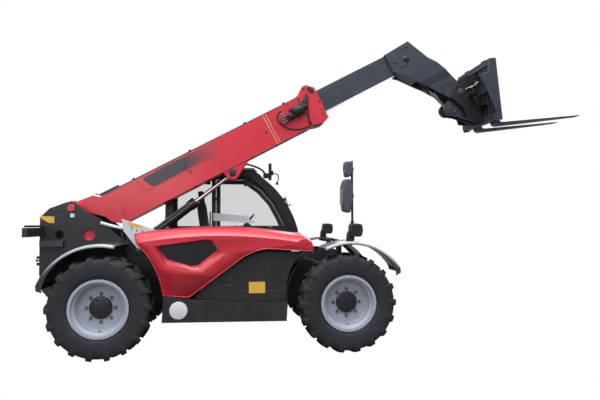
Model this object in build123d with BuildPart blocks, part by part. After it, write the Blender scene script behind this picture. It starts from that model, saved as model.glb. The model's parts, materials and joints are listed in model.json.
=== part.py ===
"""Telehandler: side-engined, four-wheel-steer telescopic handler with pallet forks.

Millimetres, +Z up, X forward, Y to the machine's left.  The origin is on the ground under the
middle of the machine's box.  side() planes measure forward from the rear axle and up from the
ground, and boom_side() planes measure along and square to the boom from its pivot.
"""
import os
from math import cos, hypot, radians, sin

from build123d import *

# ---- driving dimensions -------------------------------------------------------------------
rear_x = -2720              # rear axle, from the origin
wheelbase = 2850
tyre_radius = 592           # out to the lugs, 405/70-24
tyre_width = 405
tyre_sides = 24             # flats round the carcass
air_sides = 16              # and round the air inside it
lug_depth = 34
lug_count = 18              # lugs on each side of the tread
tyre_y = 935                # middle of each tyre
rim_radius = 306            # bead seat of a 24 inch rim
rim_flange = 332
rim_half = 180
disc_face = 30              # wheel disc, outboard of the tyre's middle
hub_radius = 122
hub_face = 62
stud_circle = 160
stud_count = 8
spindle_radius = 45
kingpin_y = 825
kingpin_radius = 24
knuckle_height = 100        # half height of the knuckle between the yoke arms
run_gap = 0.3               # pins, spindles and bores
move_gap = 5                # between pieces that pass each other

rail_face = 340             # outer face of the chassis plates
rail_plate = 25
boom_angle = 28             # from the level
pivot_x, pivot_z = -515, 1743
pivot_pin = 45
pivot_tube = 90
boom_half = 160
boom_top, boom_bottom = -15, -450
boom_wall = 10
boom_rear, boom_front = 330, 3520
inner_half = 120
inner_top, inner_bottom = -38, -347
inner_rear, inner_front = 1650, 4780
slide_gap = 1
head_plate = 25
tilt_pivot_u, tilt_pivot_v = 5400, -995     # carriage pivot, along and square to the boom
tilt_eye_u, tilt_eye_v = 5186, -1130        # tilt rod's pin on the carriage
tilt_base_u, tilt_base_v = 4910, -213       # tilt cylinder's pin in the head

lift_pin_u, lift_pin_v = 1993, -516         # lift rod's pin under the boom
lift_base_x, lift_base_z = -327, 803
lift_barrel, lift_gland, lift_rod = 62, 72, 30
lift_barrel_length = 1670
eye_half = 55
lift_eye = 55
tilt_barrel, tilt_gland, tilt_rod = 48, 55, 24
tilt_barrel_length = 560
tilt_eye = 44
tilt_eye_half = 45
tilt_pin = 35

cab_right, cab_left = 260, 1100
cab_foot = 350              # the cab's lower half stands outside the chassis plates
cab_step = 1215             # height where it widens inwards over them
cab_wall = 40
glass = 6
floor_z = 840

pod_inner, pod_outer = -445, -1060          # engine cowl, across the machine
hood_y, hood_z = -430, 1490                 # hinge line of the cowl
hinge_pin = 8
fender_outer = 1122         # mudguards' outer edge
fender_radius = 712
fender_sheet = 10
cowl_sheet = 12
liner_radius = 740                          # inner wheel arches of the pod
hood_hinges = (640, 1940)                   # where along the machine
door_x, door_y = 1222, cab_left + 16        # hinge line of the door
door_hinges = (1050, 1900)
carriage_half = 510
fork_y = 263
fork_width, fork_thick = 120, 45

front_x = rear_x + wheelbase
axle_z = tyre_radius
guard_x, guard_z = wheelbase + 40, axle_z + 8       # centre of the front mudguards' curve
os.makedirs("parts", exist_ok=True)


def side(y):
    """Upright plane at width y: x forward from the rear axle, y up; it faces right (-Y)."""
    return Plane(origin=(rear_x, y, 0), x_dir=(1, 0, 0), z_dir=(0, -1, 0))


def level(z):
    """Flat plane at height z, measured forward from the rear axle."""
    return Plane(origin=(rear_x, 0, z))


def boom_side(y):
    """Upright plane at width y, along and square to the boom from its pivot."""
    a = radians(boom_angle)
    return Plane(origin=(rear_x + pivot_x, y, pivot_z), x_dir=(cos(a), 0, sin(a)), z_dir=(0, -1, 0))


def on_boom(u, v):
    """Place (x from the rear axle, z) of a point given along and square to the boom."""
    a = radians(boom_angle)
    return pivot_x + u * cos(a) - v * sin(a), pivot_z + u * sin(a) + v * cos(a)


def plate(plane, outline, thick, mode=Mode.ADD):
    """A flat plate with straight edges, thick along the plane's normal."""
    with BuildSketch(plane) as face:
        with BuildLine():
            Polyline(*outline, close=True)
        make_face()
    extrude(face.sketch, amount=thick, mode=mode)


def bar(plane, at, radius, length, mode=Mode.ADD):
    """A round bar, boss or hole standing on a plane."""
    with BuildSketch(plane) as face:
        with Locations(at):
            Circle(radius)
    extrude(face.sketch, amount=length, mode=mode)


def block(x, y, z, mode=Mode.ADD):
    """A box between pairs of sizes, x from the rear axle."""
    with Locations((rear_x + (x[0] + x[1]) / 2, (y[0] + y[1]) / 2, (z[0] + z[1]) / 2)):
        Box(x[1] - x[0], y[1] - y[0], z[1] - z[0], mode=mode)


def band(plane, centre, radius, thick, start, sweep, wide, mode=Mode.ADD):
    """A curved sheet round centre, from start degrees above forward, wide along the normal."""
    with BuildSketch(plane) as face:
        with BuildLine():
            inside = CenterArc(centre, radius, start, sweep)
            outside = CenterArc(centre, radius + thick, start, sweep)
            Line(inside @ 0, outside @ 0)
            Line(inside @ 1, outside @ 1)
        make_face()
    extrude(face.sketch, amount=wide, mode=mode)


def save(part, name):
    part.label = name
    export_step(part, f"parts/{name}.step")


# ---- wheels: tyre, rim and knuckle at each corner --------------------------------------------
# name, axle x, side (+1 left)
corners = [
    ("front_left", front_x, 1),
    ("front_right", front_x, -1),
    ("rear_left", rear_x, 1),
    ("rear_right", rear_x, -1),
]


def carcass(section, sides):
    """A ring with flats round it, its section given as (across, out) places."""
    def ring(step):
        turn = radians(360 / sides * step)
        return [(out * sin(turn), across, out * cos(turn)) for across, out in section]

    faces = []
    for step in range(sides):
        near, far = ring(step), ring(step + 1)
        for k in range(len(section)):
            k2 = (k + 1) % len(section)
            faces.append(Face(Wire.make_polygon([near[k], near[k2], far[k2], far[k]])))
    return Solid(Shell(faces))


tread_base = tyre_radius - lug_depth
bead = (rim_radius + run_gap) / cos(radians(180 / tyre_sides))     # at the flats' corners
half_section = [(172, tread_base - 4), (tyre_width / 2, 458), (167, 342), (163, bead)]
section = [(-y, out) for y, out in half_section] + half_section[::-1]
air = [(-150, 350), (150, 350), (150, 500), (-150, 500)]
# each lug runs from the shoulder to the middle, slanted, the two sides by turns
lugs = []
for hand in (1, -1):
    for step in range(lug_count):
        turn = 360 / lug_count * (step + (hand > 0) / 2)
        spoke = Plane(origin=(0, 0, 0), x_dir=(0, hand, 0), z_dir=(0, 0, 1)).rotated((0, turn, 0))
        with BuildSketch(spoke.offset(tread_base - 22)) as root:
            with BuildLine():
                Polyline((-14, 24), (-14, 92), (196, 38), (196, -50), close=True)
            make_face()
        with BuildSketch(spoke.offset(tyre_radius - 5.5)) as crest:
            with BuildLine():
                Polyline((-8, 32), (-8, 82), (184, 24), (184, -38), close=True)
            make_face()
        lugs.append(Solid.make_loft([root.sketch.face().outer_wire(), crest.sketch.face().outer_wire()],
                                    ruled=True))
with BuildPart() as tyre:
    add(carcass(section, tyre_sides))
    add(lugs)
    add(carcass(air, air_sides), mode=Mode.SUBTRACT)

for corner, x, hand in corners:
    middle = Plane(origin=(x, hand * tyre_y, axle_z), x_dir=(1, 0, 0), z_dir=(0, hand, 0))
    across = Plane(origin=middle.origin, x_dir=(0, hand, 0), z_dir=(1, 0, 0))
    save(tyre.part.moved(Location(middle.origin)), f"tyre_{corner}")

    with BuildPart() as rim:
        with BuildSketch(across):
            with BuildLine():
                Polyline(
                    (-25, spindle_radius + run_gap), (hub_face - 14, spindle_radius + run_gap),
                    (hub_face - 14, 0), (hub_face, 0), (hub_face, hub_radius - 10),
                    (hub_face - 10, hub_radius), (disc_face, hub_radius), (disc_face, 250),
                    (disc_face + 40, 268), (118, 268), (138, 296), (rim_half, 300),
                    (rim_half, rim_flange), (rim_half - 10, rim_flange),
                    (rim_half - 14, rim_radius), (125, rim_radius - 2), (105, 282), (-105, 282),
                    (-125, rim_radius - 2), (14 - rim_half, rim_radius),
                    (10 - rim_half, rim_flange), (-rim_half, rim_flange), (-rim_half, 300),
                    (-138, 296), (-118, 268), (disc_face - 20, 268), (disc_face - 16, 240),
                    (disc_face - 16, 110), (-25, 95), close=True,
                )
            make_face()
        revolve(axis=Axis(middle.origin, middle.z_dir))
        with BuildSketch(middle.offset(disc_face)):
            with PolarLocations(stud_circle, stud_count):
                RegularPolygon(16, 6)
        extrude(amount=24)
    save(rim.part, f"rim_{corner}")

    kingpin = Plane(origin=(x, hand * kingpin_y, axle_z))
    with BuildPart() as knuckle:
        bar(kingpin.offset(-knuckle_height), (0, 0), 68, 2 * knuckle_height)
        bar(kingpin.offset(-knuckle_height - 42), (0, 0), kingpin_radius, 2 * knuckle_height + 84)
        outward = Plane(origin=kingpin.origin, x_dir=(1, 0, 0), z_dir=(0, hand, 0))
        bar(outward.offset(12), (0, 0), 92, tyre_y - 25 - move_gap - kingpin_y - 12)
        bar(outward.offset(40), (0, 0), spindle_radius, tyre_y + hub_face - 14 - move_gap - kingpin_y - 40)
        inward = -1 if x == front_x else 1
        with Locations((x + inward * 105, hand * kingpin_y, axle_z - 60)):
            Box(110, 38, 30)
    save(knuckle.part, f"knuckle_{corner}")

# ---- axles -----------------------------------------------------------------------------------
yoke_inner = kingpin_y - 80
saddle_z = 770              # seat of the chassis on both axles
for name, x in (("front_axle", front_x), ("rear_axle", rear_x)):
    with BuildPart() as axle:
        with BuildSketch(Plane(origin=(x, 0, axle_z), x_dir=(0, 1, 0), z_dir=(1, 0, 0))):
            with BuildLine():
                Polyline((0, 0), (0, 170), (110, 150), (190, 90), (yoke_inner - 60, 66),
                         (yoke_inner - 20, 76), (yoke_inner, 76), (yoke_inner, 0), close=True)
            make_face()
        revolve(axis=Axis((x, 0, axle_z), (0, 1, 0)))
        mirror(about=Plane.XZ)
        for hand in (1, -1):
            for low in (knuckle_height + move_gap, -knuckle_height - move_gap - 30):
                with BuildSketch(Plane((x, 0, axle_z + low))):
                    with Locations((0, hand * kingpin_y)):
                        Circle(58)
                    with Locations((0, hand * (yoke_inner + kingpin_y) / 2)):
                        Rectangle(116, kingpin_y - yoke_inner)
                    with Locations((0, hand * (yoke_inner - 25))):
                        Rectangle(116, 50)
                    with Locations((0, hand * kingpin_y)):
                        Circle(kingpin_radius + run_gap, mode=Mode.SUBTRACT)
                extrude(amount=30)
            with Locations((x, hand * (yoke_inner - 25), axle_z)):
                Box(116, 50, 2 * (knuckle_height + move_gap + 30))
            with Locations((x, hand * 245, saddle_z - 64)):
                Box(150, 90, 128)
        # steering cylinder across the axle, behind its tube
        back = -1 if x == front_x else 1
        with Locations((x + back * 150, 0, axle_z - 30)):
            Cylinder(36, 520, rotation=(90, 0, 0))
            Cylinder(16, 1180, rotation=(90, 0, 0))
        for y in (-150, 150):
            with Locations((x + back * 100, y, axle_z - 30)):
                Box(100, 30, 60)
    save(axle.part, name)

# ---- chassis: two deep plates, cross plates, pins --------------------------------------------
# outline of both chassis plates (forward, up)
rail_outline = [
    (-850, 720), (-884, 920), (-884, 1628), (-772, 1741), (-540, 1818), (-440, 1712),
    (-233, 1642), (-102, 1546), (20, 1400), (260, 1270), (760, 1160), (2300, 1110), (2700, 1010),
    (3230, 940), (3270, 780), (2500, 752), (2330, 560), (520, 560), (420, 752), (-420, 752),
    (-600, 640), (-780, 640),
]
with BuildPart() as chassis:
    for y in (rail_face, rail_plate - rail_face):
        plate(side(y), rail_outline, rail_plate)
    inner = rail_face - rail_plate
    for hole_x, hole_z, hole_r in ((-300, 1407, 75), (-652, 1408, 55)):
        bar(side(rail_face), (hole_x, hole_z), hole_r, 2 * rail_face, mode=Mode.SUBTRACT)
    # rear ballast casting, belly plate and cross plates between the two
    plate(side(inner), [(-870, 760), (-870, 1300), (-820, 1330), (-640, 1330), (-560, 1180),
                        (-560, 760), (-780, 660), (-830, 680)], 2 * inner)
    block((520, 2330), (-inner, inner), (560, 572))
    for x0, z0, z1 in ((520, 560, 752), (2320, 560, 1060), (3200, 790, 930)):
        block((x0, x0 + 20), (-inner, inner), (z0, z1))
    block((-860, -840), (-inner, inner), (1330, 1600))
    for x0 in (0, wheelbase):
        block((x0 - 75, x0 + 75), (-inner, inner), (saddle_z, saddle_z + 25))
    # pins of the boom and of the lift cylinder
    bar(side(rail_face + 12), (pivot_x, pivot_z), pivot_pin, 2 * rail_face + 24)
    bar(side(rail_face + 12), (pivot_x, pivot_z), 60, 12)
    bar(side(-rail_face), (pivot_x, pivot_z), 60, 12)
    for y in (inner, -eye_half - move_gap):
        bar(side(y), (lift_base_x, lift_base_z), 75, inner - eye_half - move_gap)
    bar(side(inner), (lift_base_x, lift_base_z), 40, 2 * inner)
    # ledge on each side of the tail
    for y in (rail_face + 60, -rail_face):
        block((-868, -592), (y - 60, y), (1285, 1335))
    # bars under the cab, and the arms of the front mudguards
    for x0 in (860, 1980):
        block((x0, x0 + 60), (rail_face, cab_left - 90), (780, floor_z))
    arm_top = guard_z + (fender_radius ** 2 - 35 ** 2) ** 0.5 - run_gap
    for hand in (1, -1):
        for y, z in (((rail_face - 10, 1000), (arm_top - 40, arm_top)),
                     ((rail_face - 10, rail_face + 30), (920, arm_top))):
            block((guard_x - 35, guard_x + 35), sorted((hand * y[0], hand * y[1])), z)
save(chassis.part, "chassis")

# ---- outer boom --------------------------------------------------------------------------------
cavity = [(350, -360), (455, boom_bottom + boom_wall), (boom_front + 20, boom_bottom + boom_wall),
          (boom_front + 20, boom_top - boom_wall), (350, boom_top - boom_wall)]
# side gussets that carry the box to the pivot (along, square)
gusset = [(-40, -60), (-40, 62), (60, 68), (268, 48), (330, -8), (470, -60), (510, -220),
          (480, -400), (430, boom_bottom), (327, -373), (280, -270), (120, -120)]
# collar round the boom's mouth (along, square)
collar = [(3290, -452), (3350, -470), (3424, -482), (3512, -430), (3530, 5), (3440, 40), (3290, 0)]
with BuildPart() as outer_boom:
    plate(boom_side(boom_half), [(boom_rear, -373), (430, boom_bottom), (boom_front, boom_bottom),
                                 (boom_front, boom_top), (boom_rear, boom_top)], 2 * boom_half)
    plate(boom_side(boom_half + 22), collar, 2 * (boom_half + 22))
    for y in (boom_half + 16, 10 - boom_half):
        plate(boom_side(y), gusset, 26)
        bar(boom_side(y), (0, 0), pivot_tube + 8, 26)
    plate(boom_side(boom_half), [(40, 48), (264, 30), (boom_rear, -26), (boom_rear, -8), (268, 46),
                                 (44, 64)], 2 * boom_half)
    tube_half = inner - move_gap
    bar(boom_side(tube_half), (0, 0), pivot_tube, 2 * tube_half)
    plate(boom_side(boom_half - boom_wall), cavity, 2 * (boom_half - boom_wall), mode=Mode.SUBTRACT)
    bar(boom_side(tube_half), (0, 0), pivot_pin + run_gap, 2 * tube_half, mode=Mode.SUBTRACT)
    # opening under the boom that the lift cylinder works in
    plate(boom_side(80), [(1600, boom_bottom - 5), (2140, boom_bottom - 5), (2140, -430),
                          (1600, -430)], 160, mode=Mode.SUBTRACT)
    # lugs of the lift rod, each with a stub of its pin
    for y in (150, -125):
        plate(boom_side(y), [(1880, boom_bottom + 4), (1912, lift_pin_v - 40), (1960, lift_pin_v - 84),
                             (2040, lift_pin_v - 78), (2290, boom_bottom + 4)], 25)
        bar(boom_side(y), (lift_pin_u, lift_pin_v), 90, 25)
    for y in (125, -eye_half - move_gap):
        bar(boom_side(y), (lift_pin_u, lift_pin_v), 42, 125 - eye_half - move_gap)
    # wear pads at the mouth
    mouth = (boom_front - 130, boom_front - 10)
    for y in (110, -50):
        plate(boom_side(y), [(mouth[0], boom_bottom + 6), (mouth[1], boom_bottom + 6),
                             (mouth[1], inner_bottom - slide_gap), (mouth[0], inner_bottom - slide_gap)], 60)
        plate(boom_side(y), [(mouth[0], boom_top - 6), (mouth[1], boom_top - 6),
                             (mouth[1], inner_top + slide_gap), (mouth[0], inner_top + slide_gap)], 60)
    pad = boom_half - 5 - inner_half - slide_gap
    for y in (boom_half - 5, -inner_half - slide_gap):
        plate(boom_side(y), [(mouth[0], -340), (mouth[1], -340), (mouth[1], -50), (mouth[0], -50)], pad)
save(outer_boom.part, "outer_boom")

# ---- inner boom with its goose-neck head -------------------------------------------------------
# outline of the head's side plates (along, square)
head = [(4650, -28), (5053, 0), (5207, -330), (5304, -457), (5383, -632), (5443, -819),
        (5507, -960), (5500, -1040), (5400, -1106), (5300, -1095), (5233, -993), (5030, -708),
        (4782, -403), (4650, -300)]
with BuildPart() as inner_boom:
    plate(boom_side(inner_half), [(inner_rear, inner_bottom), (inner_front, inner_bottom),
                                  (inner_front, inner_top), (inner_rear, inner_top)], 2 * inner_half)
    wall = 8
    plate(boom_side(inner_half - wall), [
        (inner_rear - 5, inner_bottom + wall), (inner_front - wall, inner_bottom + wall),
        (inner_front - wall, inner_top - wall), (inner_rear - 5, inner_top - wall)],
        2 * (inner_half - wall), mode=Mode.SUBTRACT)
    for y in (inner_half + head_plate, -inner_half):
        plate(boom_side(y), head, head_plate)
        bar(boom_side(y), (tilt_pivot_u, tilt_pivot_v), 112, head_plate)
    web = [(4650, -38), (5046, -12), (5198, -338), (5294, -463), (5371, -638), (5412, -750)]
    belly = [(4760, -340), (4790, -392), (4915, -556)]
    for line, thick in ((web, 14), (belly, 12)):
        with BuildSketch(boom_side(inner_half)) as strip:
            with BuildLine():
                Polyline(*line)
            trace(line_width=thick)
        extrude(strip.sketch, amount=2 * inner_half)
    head_face = inner_half + head_plate
    bar(boom_side(head_face + 12), (tilt_pivot_u, tilt_pivot_v), tilt_pin, 2 * head_face + 24)
    bar(boom_side(head_face + 12), (tilt_pivot_u, tilt_pivot_v), 62, 12)
    bar(boom_side(-head_face), (tilt_pivot_u, tilt_pivot_v), 62, 12)
    for y in (inner_half, -eye_half - 1):
        bar(boom_side(y), (tilt_base_u, tilt_base_v), 60, inner_half - eye_half - 1)
    bar(boom_side(inner_half), (tilt_base_u, tilt_base_v), tilt_pin, 2 * inner_half)
    # shoes at the tail
    tail = (inner_rear, inner_rear + 150)
    for y in (118, -88):
        plate(boom_side(y), [(tail[0], boom_bottom + boom_wall + slide_gap),
                             (tail[1], boom_bottom + boom_wall + slide_gap),
                             (tail[1], inner_bottom + 2), (tail[0], inner_bottom + 2)], 30)
        plate(boom_side(y), [(tail[0], inner_top - 2), (tail[1], inner_top - 2),
                             (tail[1], boom_top - boom_wall - slide_gap),
                             (tail[0], boom_top - boom_wall - slide_gap)], 30)
    shoe = boom_half - boom_wall - slide_gap - inner_half + 2
    for y in (boom_half - boom_wall - slide_gap, 2 - inner_half):
        plate(boom_side(y), [(tail[0], -330), (tail[1], -330), (tail[1], -60), (tail[0], -60)], shoe)
save(inner_boom.part, "inner_boom")


def cylinder_plane(start, end, y):
    """Upright plane with x along a cylinder, from its base pin at start towards its rod pin."""
    run = (end[0] - start[0], end[1] - start[1])
    size = hypot(*run)
    return Plane(origin=(rear_x + start[0], y, start[1]), x_dir=(run[0] / size, 0, run[1] / size),
                 z_dir=(0, -1, 0)), size


def along(plane, distance):
    """Plane square to a cylinder at this distance from its base pin."""
    return Plane(origin=plane.origin + plane.x_dir * distance, x_dir=(0, 1, 0), z_dir=plane.x_dir)


# name, base pin, rod pin, barrel, gland, rod and eye radius, eye half width, barrel length, pin
cylinders = [
    ("lift", (lift_base_x, lift_base_z), on_boom(lift_pin_u, lift_pin_v),
     lift_barrel, lift_gland, lift_rod, lift_eye, eye_half, lift_barrel_length, 40),
    ("tilt", on_boom(tilt_base_u, tilt_base_v), on_boom(tilt_eye_u, tilt_eye_v),
     tilt_barrel, tilt_gland, tilt_rod, tilt_eye, tilt_eye_half, tilt_barrel_length, tilt_pin),
]
for name, base, tip, barrel_r, gland_r, rod_r, eye_r, half, length, pin_r in cylinders:
    plane, reach = cylinder_plane(base, tip, 0)
    with BuildPart() as barrel:
        bar(plane.offset(-half), (0, 0), pin_r + 24, 2 * half)
        bar(along(plane, pin_r), (0, 0), half - 3, 90)
        bar(along(plane, pin_r + 50), (0, 0), barrel_r, length - pin_r - 50)
        bar(along(plane, length - 90), (0, 0), gland_r, 90)
        bar(along(plane, pin_r + 30), (0, 0), rod_r + 2, length - pin_r - 90, mode=Mode.SUBTRACT)
        bar(along(plane, length - 61), (0, 0), rod_r + run_gap, 62, mode=Mode.SUBTRACT)
        bar(plane.offset(-half), (0, 0), pin_r + run_gap, 2 * half, mode=Mode.SUBTRACT)
    save(barrel.part, f"{name}_cylinder_barrel")
    with BuildPart() as piston:
        start = pin_r + 60 + length * 0.42
        bar(along(plane, start), (0, 0), rod_r, reach - start)
        bar(plane.offset(-half), (reach, 0), eye_r, 2 * half)
        bar(plane.offset(-half), (reach, 0), eye_r * 0.62, 2 * half, mode=Mode.SUBTRACT)
    save(piston.part, f"{name}_cylinder_rod")

# ---- fork carriage -------------------------------------------------------------------------------
pivot = on_boom(tilt_pivot_u, tilt_pivot_v)
crank = on_boom(tilt_eye_u, tilt_eye_v)
# outlines (forward, up): side plate, centre lug
cheek = [(4990, 3800), (5080, 3812), (5165, 2955), (5075, 2940), (5050, 3180), (4870, 3500),
         (4866, 3560), (4968, 3640)]
lug = [(4628, 3440), (4545, 3270), (4560, 3090), (4700, 3070), (4980, 2990), (5062, 3000),
       (5016, 3640), (4900, 3640), (4760, 3500)]


def lean(z):
    """The sloping line, forward at height z, that the shanks of the forks stand against."""
    return 5140 - 0.0957 * (z - 2955)


with BuildPart() as carriage:
    for y in (carriage_half, 20 - carriage_half):
        plate(side(y), cheek, 20)
    for y in (95, -66):
        plate(side(y), lug, 29)
        bar(side(y), pivot, 100, 29)
        bar(side(y), crank, 100, 29)
    bar(side(95), pivot, 62, 190)
    bar(side(95), pivot, tilt_pin + run_gap, 190, mode=Mode.SUBTRACT)
    for y in (112, -95):
        bar(side(y), crank, 98, 17)
    for y in (66, -tilt_eye_half - move_gap):
        bar(side(y), crank, 34, 66 - tilt_eye_half - move_gap)
    # beams across, on the line that the forks lean against (bottom, top, depth)
    for low, high, deep in ((3722, 3800, 75), (3366, 3476, 75), (2960, 3052, 85)):
        plate(side(carriage_half - 10), [
            (lean(low) - deep, low), (lean(low) - run_gap, low), (lean(high) - run_gap, high),
            (lean(high) - deep, high)], 2 * carriage_half - 20)
    # upright bars between the beams
    for y in (-400, -310, -175, 0, 175, 310, 400):
        plate(side(y + 15), [(lean(3730) - 60, 3730), (lean(3730) - 35, 3730),
                             (lean(3000) - 35, 3000), (lean(3000) - 60, 3000)], 30)
save(carriage.part, "carriage")

# ---- forks: shank and tapered blade ------------------------------------------------------------
with BuildPart() as forks:
    for y in (fork_y, -fork_y):
        plate(side(y + fork_width / 2), [
            (lean(3832) - 45, 3832), (lean(3832) + fork_thick, 3832),
            (lean(3010) + fork_thick, 3010), (5250, 2958), (6449, 3084), (6440, 3072), (5600, 2958),
            (5190, 2905), (lean(2930), 2930), (lean(3800), 3800 + run_gap),
            (lean(3800) - 45, 3800 + run_gap)], fork_width)
save(forks.part, "forks")

# ---- engine pod on the right: cradle, bulkhead, engine, skirt, ribbed panel --------------------
with BuildPart() as cradle:
    block((700, 2112), (pod_outer + 12, -rail_face), (430, 445))
    for x0 in (700, 2100):
        block((x0, x0 + 12), (pod_outer + 12, -rail_face), (445, 600))
    # bulkhead between the engine and the boom, with the pins that the cowl hangs on
    plate(side(-400), [(712, 445), (2100, 445), (2100, 700), (2250, 1150), (2250, 1395),
                       (1340, 1470), (400, 1390), (380, 1150), (700, 700)], 12)
    bar(side(-400), (0, axle_z), liner_radius, 12, mode=Mode.SUBTRACT)
    bar(side(-400), (wheelbase, axle_z), liner_radius, 12, mode=Mode.SUBTRACT)
    for x in hood_hinges:
        block((x, x + 10), (hood_y - 14, -400), (1360, hood_z + 14))
        with Locations((rear_x + x + 30, hood_y, hood_z)):
            Cylinder(hinge_pin, 60, rotation=(0, 90, 0))
    # wheel arches, over the front of the rear wheel and the rear of the front wheel
    for x0, start, sweep in ((0, 14, 46), (wheelbase, 134, 30)):
        band(side(-412), (x0, axle_z), liner_radius, 8, start, sweep, 560)
save(cradle.part, "engine_cradle")

with BuildPart() as engine:
    block((900, 1900), (-880, -430), (620, 1240))
    for x0 in (960, 1720):
        for y0 in (-860, -500):
            block((x0, x0 + 100), (y0, y0 + 50), (445, 620))
save(engine.part, "engine_block")

skirt_outline = [(684, 414), (2116, 397), (2130, 617), (1474, 632), (1009, 672), (700, 716)]
with BuildPart() as skirt:
    plate(side(pod_outer + 12), skirt_outline, 12)
    plate(side(pod_outer + 100), [(2128, 607), (2130, 617), (1474, 632), (1009, 672), (700, 716),
                                  (700, 706), (1008, 662), (1474, 622)], 100)
    plate(side(pod_outer + 75), [(684, 414), (2116, 397), (2116, 407), (684, 424)], 75)
save(skirt.part, "side_skirt")

with BuildPart() as panel:
    plate(side(pod_outer + 100), [
        (1050, 668.5), (1474, 632), (2130, 617), (2131, 856), (2192, 1034), (2300, 1160),
        (2310, 1205), (1890, 1215), (1770, 1190), (1600, 1112), (1340, 960), (1110, 770)], 15)
    for step in range(9):
        x = 1640 + step * 68
        block((x, x + 16), (pod_outer + 76, pod_outer + 86), (880, 1130))
    plate(side(pod_outer + 86), [(1124, 662.2), (1290, 845), (1520, 850), (1664, 627.7), (1474, 632)], 26)
save(panel.part, "side_panel")

# engine cowl: crown and side in one moulding, open below and towards the boom
# top edge (rear, crest, front, nose) at the hinge side and, lower, at the outer side
crown = [(345, 1432), (1340, 1508), (2250, 1425), (2432, 1330)]
shoulder = [(392, 1322), (1340, 1400), (2250, 1318), (2436, 1272)]


def cowl_outline(top, inset=0):
    """The cowl seen from the side, its top edge through the four places given."""
    with BuildLine() as edge:
        ThreePointArc(*top[:3])
        ThreePointArc(top[2], top[3], (2433, 1211))
        Line((2433, 1211), (1889, 1246))
        ThreePointArc((1889, 1246), (1720, 1206), (1590, 1140))
        Line((1590, 1140), (985, 696))
        Line((985, 696), (700, 724))
        ThreePointArc((700, 724), (604, 1055), top[0])
    make_face(edge.edges())
    if inset:
        offset(amount=-inset, kind=Kind.INTERSECTION, mode=Mode.REPLACE)


window = [(635, 1278), (1169, 1340), (1238, 1326), (1315, 1241), (1089, 1062), (1007, 1052),
          (732, 1137)]
with BuildPart() as cowl:
    with BuildSketch(side(pod_inner)) as near:
        cowl_outline(crown)
    with BuildSketch(side(-820)) as break_line:
        cowl_outline(crown)
    with BuildSketch(side(pod_outer)) as far:
        cowl_outline(shoulder)
    extrude(near.sketch, amount=pod_inner + 820)
    loft([break_line.sketch.face(), far.sketch.face()], ruled=True)
    with BuildSketch(side(pod_inner + 1)) as near_in:
        cowl_outline(crown, cowl_sheet)
    with BuildSketch(side(-816)) as break_in:
        cowl_outline(crown, cowl_sheet)
    with BuildSketch(side(pod_outer + cowl_sheet)) as far_in:
        cowl_outline(shoulder, cowl_sheet)
    extrude(near_in.sketch, amount=pod_inner + 1 + 816, mode=Mode.SUBTRACT)
    loft([break_in.sketch.face(), far_in.sketch.face()], ruled=True, mode=Mode.SUBTRACT)
    # below the crown only the outer flange stays
    plate(side(pod_inner + 1), [(300, 1390), (640, 1410), (2200, 1370), (2500, 1300), (2500, 600),
                                (300, 600)], pod_inner + 1 - pod_outer - 70, mode=Mode.SUBTRACT)
    plate(side(pod_outer + 40), window, 80, mode=Mode.SUBTRACT)
    for x in hood_hinges:
        with BuildSketch(Plane(origin=(rear_x + x + 14, 0, 0), x_dir=(0, 1, 0), z_dir=(1, 0, 0))) as ear:
            with Locations((hood_y, hood_z)):
                Circle(15)
            with Locations((hood_y - 22, hood_z - 22)):
                Rectangle(60, 24)
            with Locations((hood_y, hood_z)):
                Circle(hinge_pin + run_gap, mode=Mode.SUBTRACT)
        extrude(ear.sketch, amount=40)
save(cowl.part, "engine_cowl")

with BuildPart() as mesh:
    with BuildSketch(side(pod_outer + cowl_sheet)) as sheet:
        with BuildLine():
            Polyline(*window, close=True)
        make_face()
        offset(amount=-run_gap, kind=Kind.INTERSECTION, mode=Mode.REPLACE)
    extrude(sheet.sketch, amount=6)
save(mesh.part, "cowl_window")

# ---- cab ---------------------------------------------------------------------------------------
def screen(shift=0):
    """Curved front of the cab from roof to sill, moved inwards by shift."""
    ThreePointArc((1790 - shift, 2275), (2228 - 0.9 * shift, 1873 - 0.3 * shift), (2425 - shift, 1440))


def cab_outline():
    """The cab seen from the side."""
    with BuildLine() as edge:
        screen()
        Polyline((2425, 1440), (2425, 1290), (2150, 1215), (2130, floor_z), (735, floor_z),
                 (735, 1235), (590, 1320), (560, 1420), (570, 2275), (1790, 2275))
    make_face(edge.edges())


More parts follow.
